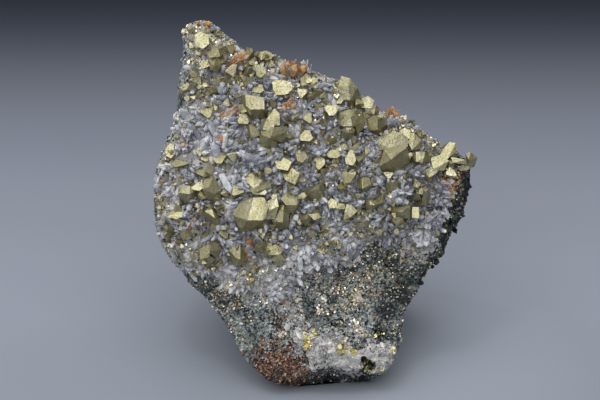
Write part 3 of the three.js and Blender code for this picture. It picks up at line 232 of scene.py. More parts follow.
# (u, v, reach, share) of the milky quartz that runs down through the bare rock to its foot
SEAM = [
    (262, 292, 12, 0.9), (243, 287, 9, 0.8), (286, 288, 9, 1.0), (289, 299, 8, 0.9), (292, 309, 8, 0.9),
    (295, 320, 8, 0.9), (300, 331, 8, 0.9), (311, 343, 9, 0.9), (298, 352, 7, 0.8), (322, 352, 10, 0.9),
    (340, 347, 9, 0.7), (330, 338, 8, 0.6), (385, 352, 9, 0.8), (389, 363, 8, 0.8), (372, 346, 6, 0.6),
    (355, 338, 8, 0.4), (352, 366, 8, 0.8), (340, 243, 18, 0.9), (418, 243, 16, 0.8), (310, 268, 9, 0.7),
]

# (u, v, reach) of the thick middle of the milky quartz at the foot
QUARTZ_HEART = [
    (303, 340, 8), (318, 352, 13), (334, 355, 14), (350, 361, 11), (384, 356, 11), (372, 350, 7),
]

# (u, v, reach, count) of the sulphide nests in the bare rock: yellow chalcopyrite, and cream pyrite
YELLOW_NESTS = [
    (307, 338, 4, 34), (308, 345, 4, 26), (314, 332, 3, 12), (341, 350, 4, 18), (353, 351, 4, 20),
    (368, 366, 7, 20), (384, 371, 4, 12), (392, 349, 4, 12), (379, 332, 5, 14), (251, 280, 4, 12),
]
CREAM_NESTS = [
    (357, 300, 6, 34), (354, 327, 7, 30), (361, 331, 7, 30), (227, 289, 6, 20), (283, 333, 4, 14),
    (317, 275, 4, 16), (320, 312, 4, 16), (299, 300, 4, 10), (335, 290, 5, 10), (325, 299, 4, 10),
    (347, 343, 4, 16), (331, 341, 3, 8), (360, 292, 4, 16),
]

# ---------------------------------------------------------------- grid and colour helpers


def face_point(u, v, rise=0.0):
    """The point over (u, v) of the plotting grid, in millimetres."""
    across = (u - GRID_FOOT[0]) * GRID_STEP
    up = (GRID_FOOT[1] - v) * GRID_STEP
    return FACE_FOOT + across * FACE_RIGHT + up * FACE_UP + rise * FACE_OUT


def on_grid(points):
    """The grid places u, v and the rise of many points."""
    from_foot = points - FACE_FOOT
    u = from_foot @ FACE_RIGHT / GRID_STEP + GRID_FOOT[0]
    v = GRID_FOOT[1] - from_foot @ FACE_UP / GRID_STEP
    return u, v, from_foot @ FACE_OUT


def nearness(points, spots):
    """For each point, how deep it lies in the nearest of the spots (u, v, reach[, share]), 0 to 1."""
    u, v, _ = on_grid(points)
    best = np.zeros(len(points))
    for spot in spots:
        share = spot[3] if len(spot) > 3 else 1.0
        away = np.hypot(u - spot[0], v - spot[1]) / spot[2]
        best = np.maximum(best, share * np.clip(1.6 - away, 0, 1))
    return best


def linear(colour):
    """An sRGB hex colour as linear RGBA."""
    parts = [(colour >> shift & 255) / 255 for shift in (16, 8, 0)]
    return tuple(c / 12.92 if c <= 0.04045 else ((c + 0.055) / 1.055) ** 2.4 for c in parts) + (1.0,)


def unit(vectors):
    """Vectors brought to length 1."""
    return vectors / np.maximum(np.linalg.norm(vectors, axis=-1, keepdims=True), 1e-9)


# ---------------------------------------------------------------- mesh helpers


def node_shape(name):
    """A CAD node's welded points, in millimetres, and its triangles."""
    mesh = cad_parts[name].data
    mesh.calc_loop_triangles()
    points = np.empty(len(mesh.vertices) * 3)
    mesh.vertices.foreach_get("co", points)
    corners = np.empty(len(mesh.loop_triangles) * 3, np.int32)
    mesh.loop_triangles.foreach_get("vertices", corners)
    points = points.reshape(-1, 3) / MM
    _, first, welded = np.unique(np.round(points, 3), axis=0, return_index=True, return_inverse=True)
    faces = welded.ravel()[corners].reshape(-1, 3)
    whole = (faces[:, 0] != faces[:, 1]) & (faces[:, 1] != faces[:, 2]) & (faces[:, 2] != faces[:, 0])
    return points[first], faces[whole]


def refine(points, faces, longest):
    """Splits every edge over the longest length in the middle, until none is left."""
    while True:
        edges = np.sort(faces[:, [0, 1, 1, 2, 2, 0]].reshape(-1, 2), axis=1)
        edges, side = np.unique(edges, axis=0, return_inverse=True)
        ends = points[edges]
        long = np.linalg.norm(ends[:, 0] - ends[:, 1], axis=1) > longest
        if not long.any():
            return points, faces
        middle = np.where(long, np.cumsum(long) - 1 + len(points), -1)[side.ravel()].reshape(-1, 3)
        points = np.concatenate([points, ends[long].mean(axis=1)])
        faces = split_faces(faces, middle)


def split_faces(faces, middle):
    """Triangles cut through the new points on their sides, where middle isn't -1."""
    split = middle >= 0
    count = split.sum(axis=1)
    turn = np.zeros(len(faces), int)
    turn[count == 1] = np.argmax(split[count == 1], axis=1)
    turn[count == 2] = (np.argmin(split[count == 2], axis=1) + 1) % 3
    order = (np.arange(3) + turn[:, None]) % 3
    a, b, c = np.take_along_axis(faces, order, axis=1).T
    ab, bc, ca = np.take_along_axis(middle, order, axis=1).T

    def rows(which, *corners):
        return np.stack([corner[which] for corner in corners], axis=1)

    one, two, three = count == 1, count == 2, count == 3
    return np.concatenate([
        faces[count == 0],
        rows(one, a, ab, c), rows(one, ab, b, c),
        rows(two, ab, b, bc), rows(two, a, ab, bc), rows(two, a, bc, c),
        rows(three, a, ab, ca), rows(three, ab, b, bc), rows(three, bc, c, ca), rows(three, ab, bc, ca),
    ])


def triangles(points, faces):
    """Each triangle's corners, and its normal, as long as twice its area."""
    corners = points[faces]
    return corners, np.cross(corners[:, 1] - corners[:, 0], corners[:, 2] - corners[:, 0])


def point_normals(points, faces):
    """The area-weighted normal at each point."""
    _, across = triangles(points, faces)
    normals = np.zeros_like(points)
    for corner in range(3):
        np.add.at(normals, faces[:, corner], across)
    return unit(normals)


def roughness_field(points, size, octaves, shift=0.0):
    """Fractal noise at the points, about -1 to 1, whose largest lumps are this size in millimetres."""
    places = points / size + shift
    return np.array([noise.fractal(Vector(p), 1.0, 2.0, octaves) for p in places])


def joined(*shapes):
    """Several (points, faces) as one."""
    shift = np.cumsum([0] + [len(points) for points, _ in shapes[:-1]])
    return (
        np.concatenate([points for points, _ in shapes]),
        np.concatenate([faces + start for (_, faces), start in zip(shapes, shift)]),
    )


def tree_of(*shapes):
    """One search tree of all the shapes."""
    points, faces = joined(*shapes)
    return BVHTree.FromPolygons(points.tolist(), faces.tolist())


def meets(tree, starts, directions, reach):
    """Whether the line from each start meets the tree within the reach."""
    return np.array([
        tree.ray_cast(Vector(start), Vector(direction), reach)[0] is not None
        for start, direction in zip(starts, directions)
    ])


def faces_of(shape):
    """The triangles of a bmesh, which it then frees."""
    faces = np.array([[v.index for v in face.verts] for face in shape.faces])
    shape.free()
    return faces


def shown(name, data):
    """A new object in the scene."""
    made = bpy.data.objects.new(name, data)
    bpy.context.scene.collection.objects.link(made)
    return made


def piece(name, shape, material, replaced=(), smooth=False):
    """A finished piece of the specimen, with its body and the CAD nodes that it stands for."""
    points, faces = shape
    points = np.maximum(points, [-np.inf, -np.inf, SHELF])
    mesh = bpy.data.meshes.new(name)
    mesh.vertices.add(len(points))
    mesh.vertices.foreach_set("co", (points * MM).ravel())
    mesh.loops.add(faces.size)
    mesh.loops.foreach_set("vertex_index", faces.ravel().astype(np.int32))
    mesh.polygons.add(len(faces))
    mesh.polygons.foreach_set("loop_start", np.arange(0, faces.size, 3, dtype=np.int32))
    mesh.update(calc_edges=True)
    mesh.validate()
    if smooth:
        mesh.shade_smooth()
        mesh.set_sharp_from_angle(angle=SHARP)
    else:
        mesh.shade_flat()
    mesh.materials.append(material)
    made = shown(name, mesh)
    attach(made, "root")
    if replaced:
        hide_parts(*replaced)
    return made


# ---------------------------------------------------------------- material helpers

# the mixing node's sockets for colours: the share of the upper one, the two colours, and the result
SHARE, UNDER, OVER, MIXED = 0, 6, 7, 2
LAID_OVER = {"data_type": "RGBA"}
MULTIPLIED = {"data_type": "RGBA", "blend_type": "MULTIPLY"}


def add(tree, kind, inputs=(), stops=(), interpolation="LINEAR", **settings):
    """Adds a node and gives back its outputs. Its inputs are values or links, in order or by name, and a
    colour band has stops (place, hex colour)."""
    made = tree.nodes.new("ShaderNode" + kind)
    for name, value in settings.items():
        setattr(made, name, value)
    given = inputs.items() if isinstance(inputs, dict) else enumerate(inputs)
    for name, value in given:
        if isinstance(value, bpy.types.NodeSocket):
            tree.links.new(value, made.inputs[name])
        else:
            made.inputs[name].default_value = value
    if stops:
        band = made.color_ramp
        band.interpolation = interpolation
        while len(band.elements) < len(stops):
            band.elements.new(1.0)
        for element, (place, colour) in zip(band.elements, stops):
            element.position = place
            element.color = linear(colour)
    return made.outputs


def empty_tree(owner):
    """The node tree of a new material or world, without nodes."""
    owner.use_nodes = True
    owner.node_tree.nodes.clear()
    return owner.node_tree


def new_material(name):
    """A material without a shader yet, its node tree, and the place on the piece, in metres."""
    material = bpy.data.materials.new(name)
    tree = empty_tree(material)
    return material, tree, add(tree, "TexCoord")["Object"]


def finished(material, surface):
    """The material with its shader, whose inputs are values or links."""
    tree = material.node_tree
    shader = add(tree, "BsdfPrincipled", surface)
    add(tree, "OutputMaterial", {"Surface": shader["BSDF"]})
    return material


def pattern(position, size, **more):
    """The inputs of a pattern whose features are this size in millimetres."""
    return {"Vector": position, "Scale": 1 / (size * MM), **more}


def near_spots(tree, position, spots, flattened=False):
    """How deep the surface lies in any of the grid's spots (u, v, reach, share), a value from 0 to 1."""
    total = None
    for u, v, reach, share in spots:
        place = face_point(u, v)
        centre = tuple((place - (place @ FACE_OUT) * FACE_OUT * flattened) * MM)
        away = add(tree, "VectorMath", [position, centre], operation="DISTANCE")["Value"]
        edge = reach * GRID_STEP * MM
        depth = add(tree, "MapRange", [away, edge * 1.25, edge * 0.5, 0.0, share])[0]
        if total is not None:
            depth = add(tree, "Math", [depth, total], operation="MAXIMUM")[0]
        total = depth
    return total


# ---------------------------------------------------------------- the minerals


def sulphide_rock():
    """Fine-grained chlorite rock full of sulphide, broken rough: a dark slate-green salt-and-pepper of
    millimetre grains, some pale, some brassy, with a rusted patch at the foot of the face. Shade is
    painted into it where it turns from the light, in its pit and under its foot."""
    material, tree, position = new_material("sulphide_rock")
    wobble = add(tree, "TexNoise", pattern(position, 1.6, Detail=3.0))
    shifted = add(tree, "VectorMath", {0: wobble["Color"], "Scale": 0.0012}, operation="SCALE")[0]
    grained = add(tree, "VectorMath", [position, shifted], operation="ADD")[0]
    grain = add(tree, "TexVoronoi", pattern(grained, 1.0))
    pick = add(tree, "SeparateColor", [grain["Color"]])
    mineral = add(tree, "ValToRGB", [pick["Red"]], [
        (0.0, 0x171a1b), (0.10, 0x424a4b), (0.24, 0x6e7979), (0.46, 0x939e9d), (0.70, 0xafb7b3),
        (0.90, 0xcfd1cb), (0.95, 0xa4936a), (0.975, 0xe3d8bb),
    ], "CONSTANT")[0]
    broad = add(tree, "TexNoise", pattern(position, 14, Detail=4.0))["Fac"]
    shade = add(tree, "ValToRGB", [broad], [(0.38, 0x72787a), (0.58, 0xffffff)])[0]
    stone = add(tree, "Mix", {SHARE: 0.85, UNDER: mineral, OVER: shade}, **MULTIPLIED)[MIXED]
    # painted shade: the rock is darkened where it turns from the light, in its pit and under its foot
    inward = add(tree, "VectorMath", [position, tuple(FACE_OUT)], operation="PROJECT")[0]
    flat = add(tree, "VectorMath", [position, inward], operation="SUBTRACT")[0]
    painted_shade = near_spots(tree, flat, PAINTED_SHADE_SPOTS, flattened=True)
    stone = add(tree, "Mix", {SHARE: painted_shade, UNDER: stone, OVER: linear(0x2a2e31)}, **MULTIPLIED)[MIXED]
    torn = add(tree, "MapRange", [wobble["Fac"], 0.35, 0.65])[0]
    vein = add(tree, "Math", [near_spots(tree, position, SEAM), torn], operation="MULTIPLY")[0]
    milky = add(tree, "MapRange", [vein, 0.15, 0.5, 0.0, 0.85])[0]
    stone = add(tree, "Mix", {SHARE: milky, UNDER: stone, OVER: linear(0xc2c1be)}, **LAID_OVER)[MIXED]
    rust = add(tree, "ValToRGB", [pick["Green"]], [
        (0.0, 0x161414), (0.34, 0x3a302b), (0.54, 0x745244), (0.78, 0x9a6e55), (0.95, 0xbc9f84),
    ], "CONSTANT")[0]
    rusted = near_spots(tree, position, RUSTED)
    patchy = add(tree, "Math", [rusted, pick["Blue"]], operation="GREATER_THAN")[0]
    stone = add(tree, "Mix", {SHARE: patchy, UNDER: stone, OVER: rust}, **LAID_OVER)[MIXED]
    dull = add(tree, "MapRange", [pick["Red"], 0.0, 1.0, 0.78, 0.42])[0]
    fine = add(tree, "TexNoise", pattern(position, 0.7, Detail=4.0))["Fac"]
    height = add(tree, "Math", [grain["Distance"], fine], operation="SUBTRACT")[0]
    bump = add(tree, "Bump", {"Height": height, "Strength": 0.8, "Distance": 0.0005})[0]
    return finished(material, {"Base Color": stone, "Roughness": dull, "Normal": bump})


def mineral_grain(name, colours, metallic, roughness):
    """Broken grains of one mineral in the rock: each has its own shade from the colours, with a mottle
    that is drawn at half a millimetre, coarser than it is, so that it shows."""
    material, tree, position = new_material(name)
    chance = add(tree, "NewGeometry")["Random Per Island"]
    stops = [(place / len(colours), colour) for place, colour in enumerate(colours)]
    tone = add(tree, "ValToRGB", [chance], stops, "CONSTANT")[0]
    mottle = add(tree, "TexNoise", pattern(position, 0.5, Detail=3.0))["Fac"]
    worn = add(tree, "MapRange", [mottle, 0.3, 0.7, 0.6, 1.0])[0]
    shade = add(tree, "CombineColor", [worn, worn, worn])[0]
    colour = add(tree, "Mix", {SHARE: 1.0, UNDER: tone, OVER: shade}, **MULTIPLIED)[MIXED]
    rough = add(tree, "MapRange", [mottle, 0.3, 0.7, roughness * 0.75, roughness * 1.25])[0]
    return finished(material, {"Base Color": colour, "Metallic": metallic, "Roughness": rough})


def brassy_metal(name, bright, shade, tarnish, roughness, tarnished):
    """Chalcopyrite: a brittle brass-yellow sulphide with a satin metallic lustre. Growth steps and fine
    striations break each face's shine, and an olive tarnish lies in broad patches and tiny pits. The
    steps and striations are finer than they are drawn here, at about a millimetre, so that they show."""
    material, tree, position = new_material(name)
    broad = add(tree, "TexNoise", pattern(position, 5, Detail=4.0))
    tone = add(tree, "ValToRGB", [broad["Fac"]], [(0.32, shade), (0.62, bright)])[0]
    fine = add(tree, "TexNoise", pattern(position, 0.6, Detail=3.0))["Fac"]
    patch = add(tree, "MapRange", [fine, 0.56, 0.70, 0.0, tarnished])[0]
    wander = add(tree, "VectorMath", {0: broad["Color"], "Scale": 0.004}, operation="SCALE")[0]
    bent = add(tree, "VectorMath", [position, wander], operation="ADD")[0]
    seams = add(tree, "TexVoronoi", pattern(bent, 4.5), feature="DISTANCE_TO_EDGE")["Distance"]
    width = add(tree, "MapRange", [broad["Fac"], 0.5, 0.64, 0.0, 0.035])[0]
    crack = add(tree, "Math", [width, seams], operation="GREATER_THAN")[0]
    faint = add(tree, "MapRange", [crack, 0.0, 1.0, 0.0, 0.5])[0]
    dark = add(tree, "Math", [patch, faint], operation="MAXIMUM")[0]
    colour = add(tree, "Mix", {SHARE: dark, UNDER: tone, OVER: linear(tarnish)}, **LAID_OVER)[MIXED]
    rough = add(tree, "MapRange", [fine, 0.3, 0.7, roughness * 0.8, roughness * 1.3])[0]
    stretched = add(tree, "Mapping", {"Vector": position, "Scale": (1.0, 0.22, 1.6)})[0]
    steps = add(tree, "TexVoronoi", pattern(stretched, 1.1))["Distance"]
    height = add(tree, "Math", [steps, fine], operation="ADD")[0]
    bump = add(tree, "Bump", {"Height": height, "Strength": 0.6, "Distance": 0.0002})[0]
    return finished(material, {
        "Base Color": colour, "Metallic": 1.0, "Roughness": rough, "Normal": bump,
    })


def quartz(name, bright, pale, deep, clear, roughness, veil_size, soft=0.4):
    """Quartz: hard glassy silica with even faces. Clear crystals let the light through, with cloudy
    veils inside, and milky or iron-stained ones hold it near the surface. A few crystals are brightest:
    a painted highlight for the glints of light inside them. The etching of the faces is drawn at half a
    millimetre, coarser than it is, so that it shows."""
    material, tree, position = new_material(name)
    veils = add(tree, "TexNoise", pattern(position, veil_size, Detail=5.0))["Fac"]
    chance = add(tree, "NewGeometry")["Random Per Island"]
    cloud = add(tree, "Math", [veils, chance], operation="ADD")[0]
    depth = add(tree, "MapRange", [cloud, 0.45, 1.55])[0]
    # the brightest tone, on a few crystals, is a painted highlight for the glints inside them
    tone = add(tree, "ValToRGB", [depth], [(0.0, deep), (0.74, pale), (0.86, bright)])[0]
    rough = add(tree, "MapRange", [veils, 0.35, 0.65, roughness * 0.6, roughness * 1.6])[0]
    etched = add(tree, "TexNoise", pattern(position, 0.5, Detail=3.0))["Fac"]
    bump = add(tree, "Bump", {"Height": etched, "Strength": 0.25, "Distance": 0.0002})[0]
    return finished(material, {
        "Base Color": tone, "Roughness": rough, "Normal": bump, "IOR": QUARTZ_IOR,
        "Transmission Weight": clear, "Subsurface Weight": soft, "Subsurface Scale": 0.0016,
        "Subsurface Radius": (1.0, 0.95, 0.9),
    })


ROCK = sulphide_rock()

# the druse's crystals, the stained ones, the druse's bed, whose dark tone is partly painted shade in the
# gaps between the prisms, and the massive quartz of foot and seam
CLEAR_QUARTZ = quartz("clear_quartz", 0xfafaff, 0xe2e3ec, 0xc3c5d0, 0.6, 0.12, 3.0, 0.4)
GREY_QUARTZ = quartz("grey_quartz", 0xf6f6f9, 0xd0d1d9, 0x9a9ca6, 0.4, 0.22, 3.0, 0.5)
MILKY_QUARTZ = quartz("milky_quartz", 0xfafaf8, 0xe0e0e2, 0xbcbdc3, 0.15, 0.3, 4.0, 0.7)
STAINED_QUARTZ = quartz("iron_stained_quartz", 0xf5e4cc, 0xebc090, 0xc07a38, 0.35, 0.3, 2.0)
SHADED_DRUSE_BED = quartz("druse_bed", 0xbdbab6, 0x9c9a97, 0x5e5d5c, 0.05, 0.45, 2.5)
FOOT_QUARTZ = quartz("massive_foot_quartz", 0xe6e3dd, 0xcfccc7, 0x908d8c, 0.08, 0.32, 3.5, 0.7)
SEAM_QUARTZ = quartz("seam_quartz", 0xdedbd7, 0xc4c1bf, 0x88878b, 0.08, 0.34, 3.5, 0.6)

# the large crystals, the small ones, the granular sulphide, and the fresh nests of the rock
CHALCOPYRITE = brassy_metal("chalcopyrite", 0xb4af92, 0xa19b73, 0x443d22, 0.46, 0.7)
SMALL_CHALCOPYRITE = brassy_metal("small_chalcopyrite", 0xc6c0a3, 0xb1a981, 0x443d23, 0.47, 0.6)
NUGGET = brassy_metal("granular_chalcopyrite", 0xdfd9b9, 0xbfb690, 0x443d25, 0.42, 0.6)
FRESH_NUGGET = brassy_metal("fresh_chalcopyrite", 0xf4e9b8, 0xe2d69a, 0x7a6f42, 0.5, 0.2)

# dull dark chlorite, whose grains also paint shade in the druse's gaps and on the right wall, dull pale
# feldspar, pyrite, a cream-white metal that glints, and crumbly rust
DARK_GRAIN = mineral_grain("dark_chlorite", [0x121415, 0x202526, 0x363d3c, 0x59605d], 0.0, 0.5)
PALE_GRAIN = mineral_grain("pale_feldspar", [0x848c8a, 0x99a09c, 0xafb4ae, 0xcfcfc7, 0x8f9697], 0.0, 0.4)
GOLD_GRAIN = mineral_grain("pyrite_grain", [0xf0e6cc, 0xe0d2aa, 0xf8f1dd, 0xc2b182], 0.9, 0.42)
CREAM_GRAIN = mineral_grain("granular_pyrite", [0xfdf3e4, 0xf2e2cb, 0xfffaf4, 0xdcc8ae], 0.35, 0.3)
BRIGHT_GRAIN = mineral_grain("bright_pyrite_face", [0xfaf6ea, 0xf2e8cf, 0xfdfcf8], 1.0, 0.2)
RUST_GRAIN = mineral_grain(
    "rusted_grain", [0x96634a, 0xab7656, 0x664538, 0x1c1a19, 0x332a26, 0xc8a487], 0.0, 0.6,
)

# ---------------------------------------------------------------- crystal shapes


def turned(axes, turn):
    """Frames (n, 3, 3) whose third column is the axis, turned round it by the angle."""
    axes = unit(axes)
    helper = np.where(np.abs(axes[:, 2:3]) < 0.8, [[0.0, 0.0, 1.0]], [[1.0, 0.0, 0.0]])
    side = unit(np.cross(helper, axes))
    other = np.cross(axes, side)
    cosine, sine = np.cos(turn)[:, None], np.sin(turn)[:, None]
    return np.stack([cosine * side + sine * other, cosine * other - sine * side, axes], axis=2)


def placed(shapes, faces, places, frames):
    """Many copies of a shape, each with its own points (n, k, 3), as one joined mesh."""
    points = places[:, None, :] + np.einsum("nij,nkj->nki", frames, shapes)
    count, each = shapes.shape[:2]
    all_faces = faces[None] + (np.arange(count) * each)[:, None, None]
    return points.reshape(-1, 3), all_faces.reshape(-1, 3)


def prism_faces():
    """The triangles of a closed six-sided prism with a tip: 6 foot points, 6 shoulder points, 1 tip."""
    made = []
    for i in range(6):
        j = (i + 1) % 6
        made += [(i, j, j + 6), (i, j + 6, i + 6), (i + 6, j + 6, 12)]
    made += [(0, i + 1, i) for i in range(1, 5)]
    return np.array(made)


PRISM_FACES = prism_faces()


def prism_shapes(dice, lengths, widths, buried):
    """Uneven quartz prisms along z: foot at minus buried, tip at length."""
    count = len(lengths)
    turn = np.arange(6) * math.pi / 3
    reach = widths[:, None] / 2 * dice.uniform(0.78, 1.15, (count, 6))
    ring = np.stack([reach * np.cos(turn), reach * np.sin(turn)], axis=2)
    ring[:, :, 1] *= dice.uniform(0.45, 0.95, (count, 1))
    shoulder = lengths[:, None] - widths[:, None] * dice.uniform(0.35, 1.0, (count, 6))
    shoulder = np.maximum(shoulder, lengths[:, None] * 0.25)
    foot = np.concatenate([ring * 0.9, np.broadcast_to(-buried[:, None, None], (count, 6, 1))], axis=2)
    upper = np.concatenate([ring, shoulder[:, :, None]], axis=2)
    aside = [widths * dice.uniform(-0.14, 0.14, count) for _ in range(2)]
    tip = np.stack([*aside, lengths], axis=1)
    return np.concatenate([foot, upper, tip[:, None, :]], axis=1)


def hull(points):
    """A small form: the points, and the triangles round them."""
    shape = bmesh.new()
    for p in points:
        shape.verts.new(p)
    shape.verts.index_update()
    bmesh.ops.convex_hull(shape, input=shape.verts)
    bmesh.ops.triangulate(shape, faces=shape.faces)
    bmesh.ops.recalc_face_normals(shape, faces=shape.faces)
    return points, faces_of(shape)


TETRAHEDRON = np.array(((1, 1, 1), (1, -1, -1), (-1, 1, -1), (-1, -1, 1))) / math.sqrt(3)


def sphenoid(cut):
    """Chalcopyrite's own form: a wedge-like tetrahedron with its corners cut off."""
    pairs = [(a, b) for a in range(4) for b in range(4) if a != b]
    return hull(np.array([TETRAHEDRON[a] + (TETRAHEDRON[b] - TETRAHEDRON[a]) * cut for a, b in pairs]))


SPHENOID = sphenoid(0.22)
BLOCK = sphenoid(0.38)
OCTAHEDRON = hull(np.array(((1, 0, 0), (-1, 0, 0), (0, 1, 0), (0, -1, 0), (0, 0, 1), (0, 0, -1)), float))
CUBE = hull(np.array([(x, y, z) for x in (-1, 1) for y in (-1, 1) for z in (-1, 1)]) * 0.62)
GOLDEN = (1 + math.sqrt(5)) / 2
ROUND_LUMP, LUMP_FACES = hull(unit(np.array([
    p for a in (-1, 1) for b in (-GOLDEN, GOLDEN) for p in ((0, a, b), (a, b, 0), (b, 0, a))
], float)))
FLAT_LUMP = (ROUND_LUMP * (1, 1, 0.5), LUMP_FACES)


def sizes_round(dice, typical, unevenness, count):
    """Uneven sizes round a typical one."""
    return np.exp(dice.normal(math.log(typical), unevenness, count))


def grains(dice, form, places, axes, sizes, uneven=0.25):
    """Joined uneven copies of a small form, each of its own size."""
    corners, faces = form
    count = len(places)
    shapes = np.broadcast_to(corners, (count, *corners.shape)) * sizes[:, None, None] / 2
    shapes = shapes * dice.uniform(1 - uneven, 1 + uneven, (count, 1, 3))
    shapes = shapes * dice.uniform(1 - uneven / 2, 1 + uneven / 2, (count, len(corners), 1))
    return placed(shapes, faces, places, turned(axes, dice.uniform(0, 2 * math.pi, count)))


def break_edges(made):
    """Replaces the piece's mesh by one with its sharp edges broken."""
    edge = made.modifiers.new("broken edges", "BEVEL")
    edge.width = SMALL_BEVEL * MM
    edge.limit_method = "ANGLE"
    edge.angle_limit = SMALL_BROKEN
    flat = made.modifiers.new("triangles", "TRIANGULATE")
    flat.min_vertices = 4
    settled = bpy.data.meshes.new_from_object(made.evaluated_get(bpy.context.evaluated_depsgraph_get()))
    made.modifiers.clear()
    made.data = settled


# ---------------------------------------------------------------- the rock and the druse's bed

RAW_CRUST = node_shape("quartz_crust")
RAW_FOOT = node_shape("quartz_foot")
CRYSTAL_NODES = sorted(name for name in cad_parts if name.startswith("chalcopyrite_"))
STAINED_NODES = sorted(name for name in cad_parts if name.startswith("stained_quartz_"))
COVER = tree_of(RAW_CRUST, RAW_FOOT)


def covered(points, normals, tree, reach=COVER_REACH):
    """Whether each point has a surface of the tree close over it."""
    return meets(tree, points + normals * 0.02, normals, reach)


def rock_skin():
    """The rock's broken surface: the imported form, finely lumpy and pitted, flat where it stands."""
    points, faces = refine(*node_shape("matrix_rock"), ROCK_EDGE)
    normals = point_normals(points, faces)
    lumps = LUMP_RISE * roughness_field(points, LUMP_SIZE, 3)
    chips = CHIP_RISE * np.abs(roughness_field(points, CHIP_SIZE, 3, 40.0)) - 0.12
    lift = lumps + chips
    lift[covered(points, normals, COVER)] = -0.05
    foot = np.clip(points[:, 2] / 1.5, 0, 1)
    points = points + normals * (lift * foot)[:, None]
    points[:, 2] = np.maximum(points[:, 2], SHELF)
    return points, faces


def crust_skin():
    """The druse's bed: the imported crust, sugary between its crystals."""
    points, faces = refine(*RAW_CRUST, CRUST_EDGE)
    normals = point_normals(points, faces)
    lift = SUGAR_RISE * roughness_field(points, SUGAR_SIZE, 3, 10.0)
    return points + normals * lift[:, None], faces


def foot_skin():
    """The milky quartz mass at the foot of the face, lumpy and broken, with a ragged edge."""
    points, faces = refine(*RAW_FOOT, FOOT_EDGE)
    normals = point_normals(points, faces)
    inside = nearness(points, QUARTZ_HEART)
    lumps = MASS_RISE * roughness_field(points, MASS_SIZE, 4, 20.0)
    lift = lumps + 0.35 * inside - 0.9 * (1 - inside)
    return points + normals * lift[:, None], faces


ROCK_SHAPE = rock_skin()
CRUST_SHAPE = crust_skin()
FOOT_SHAPE = foot_skin()
piece("rock_matrix_surface", ROCK_SHAPE, ROCK, ["matrix_rock"])
piece("quartz_druse_bed", CRUST_SHAPE, SHADED_DRUSE_BED, ["quartz_crust"])
piece("milky_quartz_foot", FOOT_SHAPE, FOOT_QUARTZ, ["quartz_foot"])

ROCK_TREE = tree_of(ROCK_SHAPE)
GROUND_TREE = tree_of(ROCK_SHAPE, CRUST_SHAPE, FOOT_SHAPE)

# ---------------------------------------------------------------- the large crystals


def crystal_skin(name, dice):
    """A packed crystal with broken edges and low growth steps on its faces."""
    points, faces = node_shape(name)
    shape = bmesh.new()
    corners = [shape.verts.new(p) for p in points]
    for face in faces:
        shape.faces.new([corners[i] for i in face])
    bmesh.ops.dissolve_limit(shape, angle_limit=EVEN, verts=shape.verts, edges=shape.edges)
    sharp = [e for e in shape.edges if len(e.link_faces) == 2 and e.calc_face_angle(0) > BROKEN]
    bmesh.ops.bevel(shape, geom=sharp, offset=BEVEL, segments=1, affect="EDGES", clamp_overlap=True)
    bmesh.ops.triangulate(shape, faces=shape.faces)
    shape.verts.index_update()
    points = np.array([v.co[:] for v in shape.verts])
    points, faces = refine(points, faces_of(shape), CRYSTAL_EDGE)
    normals = point_normals(points, faces)
    steps = np.round(roughness_field(points, STEP_SIZE, 2, dice.uniform(0, 50)) * 3) * STEP_RISE
    grit = GRIT_RISE * roughness_field(points, GRIT_SIZE, 2, dice.uniform(0, 50))
    return points + normals * (steps + grit)[:, None], faces


def large_crystals():
    """Every packed chalcopyrite crystal as its own finished piece."""
    dice = np.random.default_rng(3)
    shapes = []
    for name in CRYSTAL_NODES:
        shape = crystal_skin(name, dice)
        own_name = name.replace("chalcopyrite_", "crystal_")
        piece(own_name, shape, CHALCOPYRITE, [name], smooth=True)
        shapes.append(shape)
    return joined(*shapes)


CRYSTAL_SHAPE = large_crystals()
CRYSTAL_TREE = tree_of(ROCK_SHAPE, CRUST_SHAPE, FOOT_SHAPE, CRYSTAL_SHAPE)

# ---------------------------------------------------------------- small chalcopyrite crystals


def lands_on(tree, u, v):
    """Where a line into the face at (u, v) meets the tree: the point and its normal, or None."""
    start = face_point(u, v, OVER_FACE)
    hit, normal, _, _ = tree.ray_cast(Vector(start), Vector(-FACE_OUT))
    return None if hit is None else (np.array(hit), np.array(normal))


def small_crystals():
    """The small crystals between the large ones, each with a smaller one grown on it."""
    dice = np.random.default_rng(11)
    places, axes, sizes = [], [], []
    for u, v, width, height in SMALL_CRYSTALS:
        found = lands_on(CRYSTAL_TREE, u, v)
        if found is None or lands_on(GROUND_TREE, u, v) is None:
            continue
        point, normal = found
        size = math.sqrt(width * height) * GRID_STEP
        for share in (1.0, 0.55):
            aside = dice.normal(0, 0.4, 3) * size * (share < 1)
            places.append(point + FACE_OUT * size * share * 0.25 + aside)
            axes.append(normal + dice.normal(0, 0.7, 3))
            sizes.append(size * share * 1.5)
    places, axes, sizes = np.array(places), np.array(axes), np.array(sizes)
    first = np.arange(len(places)) % 2 == 0
    return joined(
        grains(dice, SPHENOID, places[first], axes[first], sizes[first], 0.3),
        grains(dice, BLOCK, places[~first], axes[~first], sizes[~first], 0.3),
    )


def patches(points, size=6.0):
    """Slow changes from place to place, about -1 to 1, whose patches are this size in millimetres."""
    return roughness_field(points, size, 2, 7.0)


def clouds(points, size):
    """One smooth noise from place to place, with clouds of about this size in millimetres."""
    return np.array([noise.noise(Vector(p) / size) for p in points])


def strewn(dice, shape, count, weight):
    """Random places on a mesh, thick where the weight of a face's middle is high: points and normals."""
    corners, across = triangles(*shape)
    area = np.linalg.norm(across, axis=1) / 2
    normals = unit(across)
    chance = area * weight(corners.mean(axis=1), normals)
    picked = dice.choice(len(corners), count, p=chance / chance.sum())
    a, b = dice.uniform(0, 1, (2, count, 1))
    over = a + b > 1
    a, b = np.where(over, 1 - a, a), np.where(over, 1 - b, b)
    chosen = corners[picked]
    places = chosen[:, 0] + a * (chosen[:, 1] - chosen[:, 0]) + b * (chosen[:, 2] - chosen[:, 0])
    return places, normals[picked]


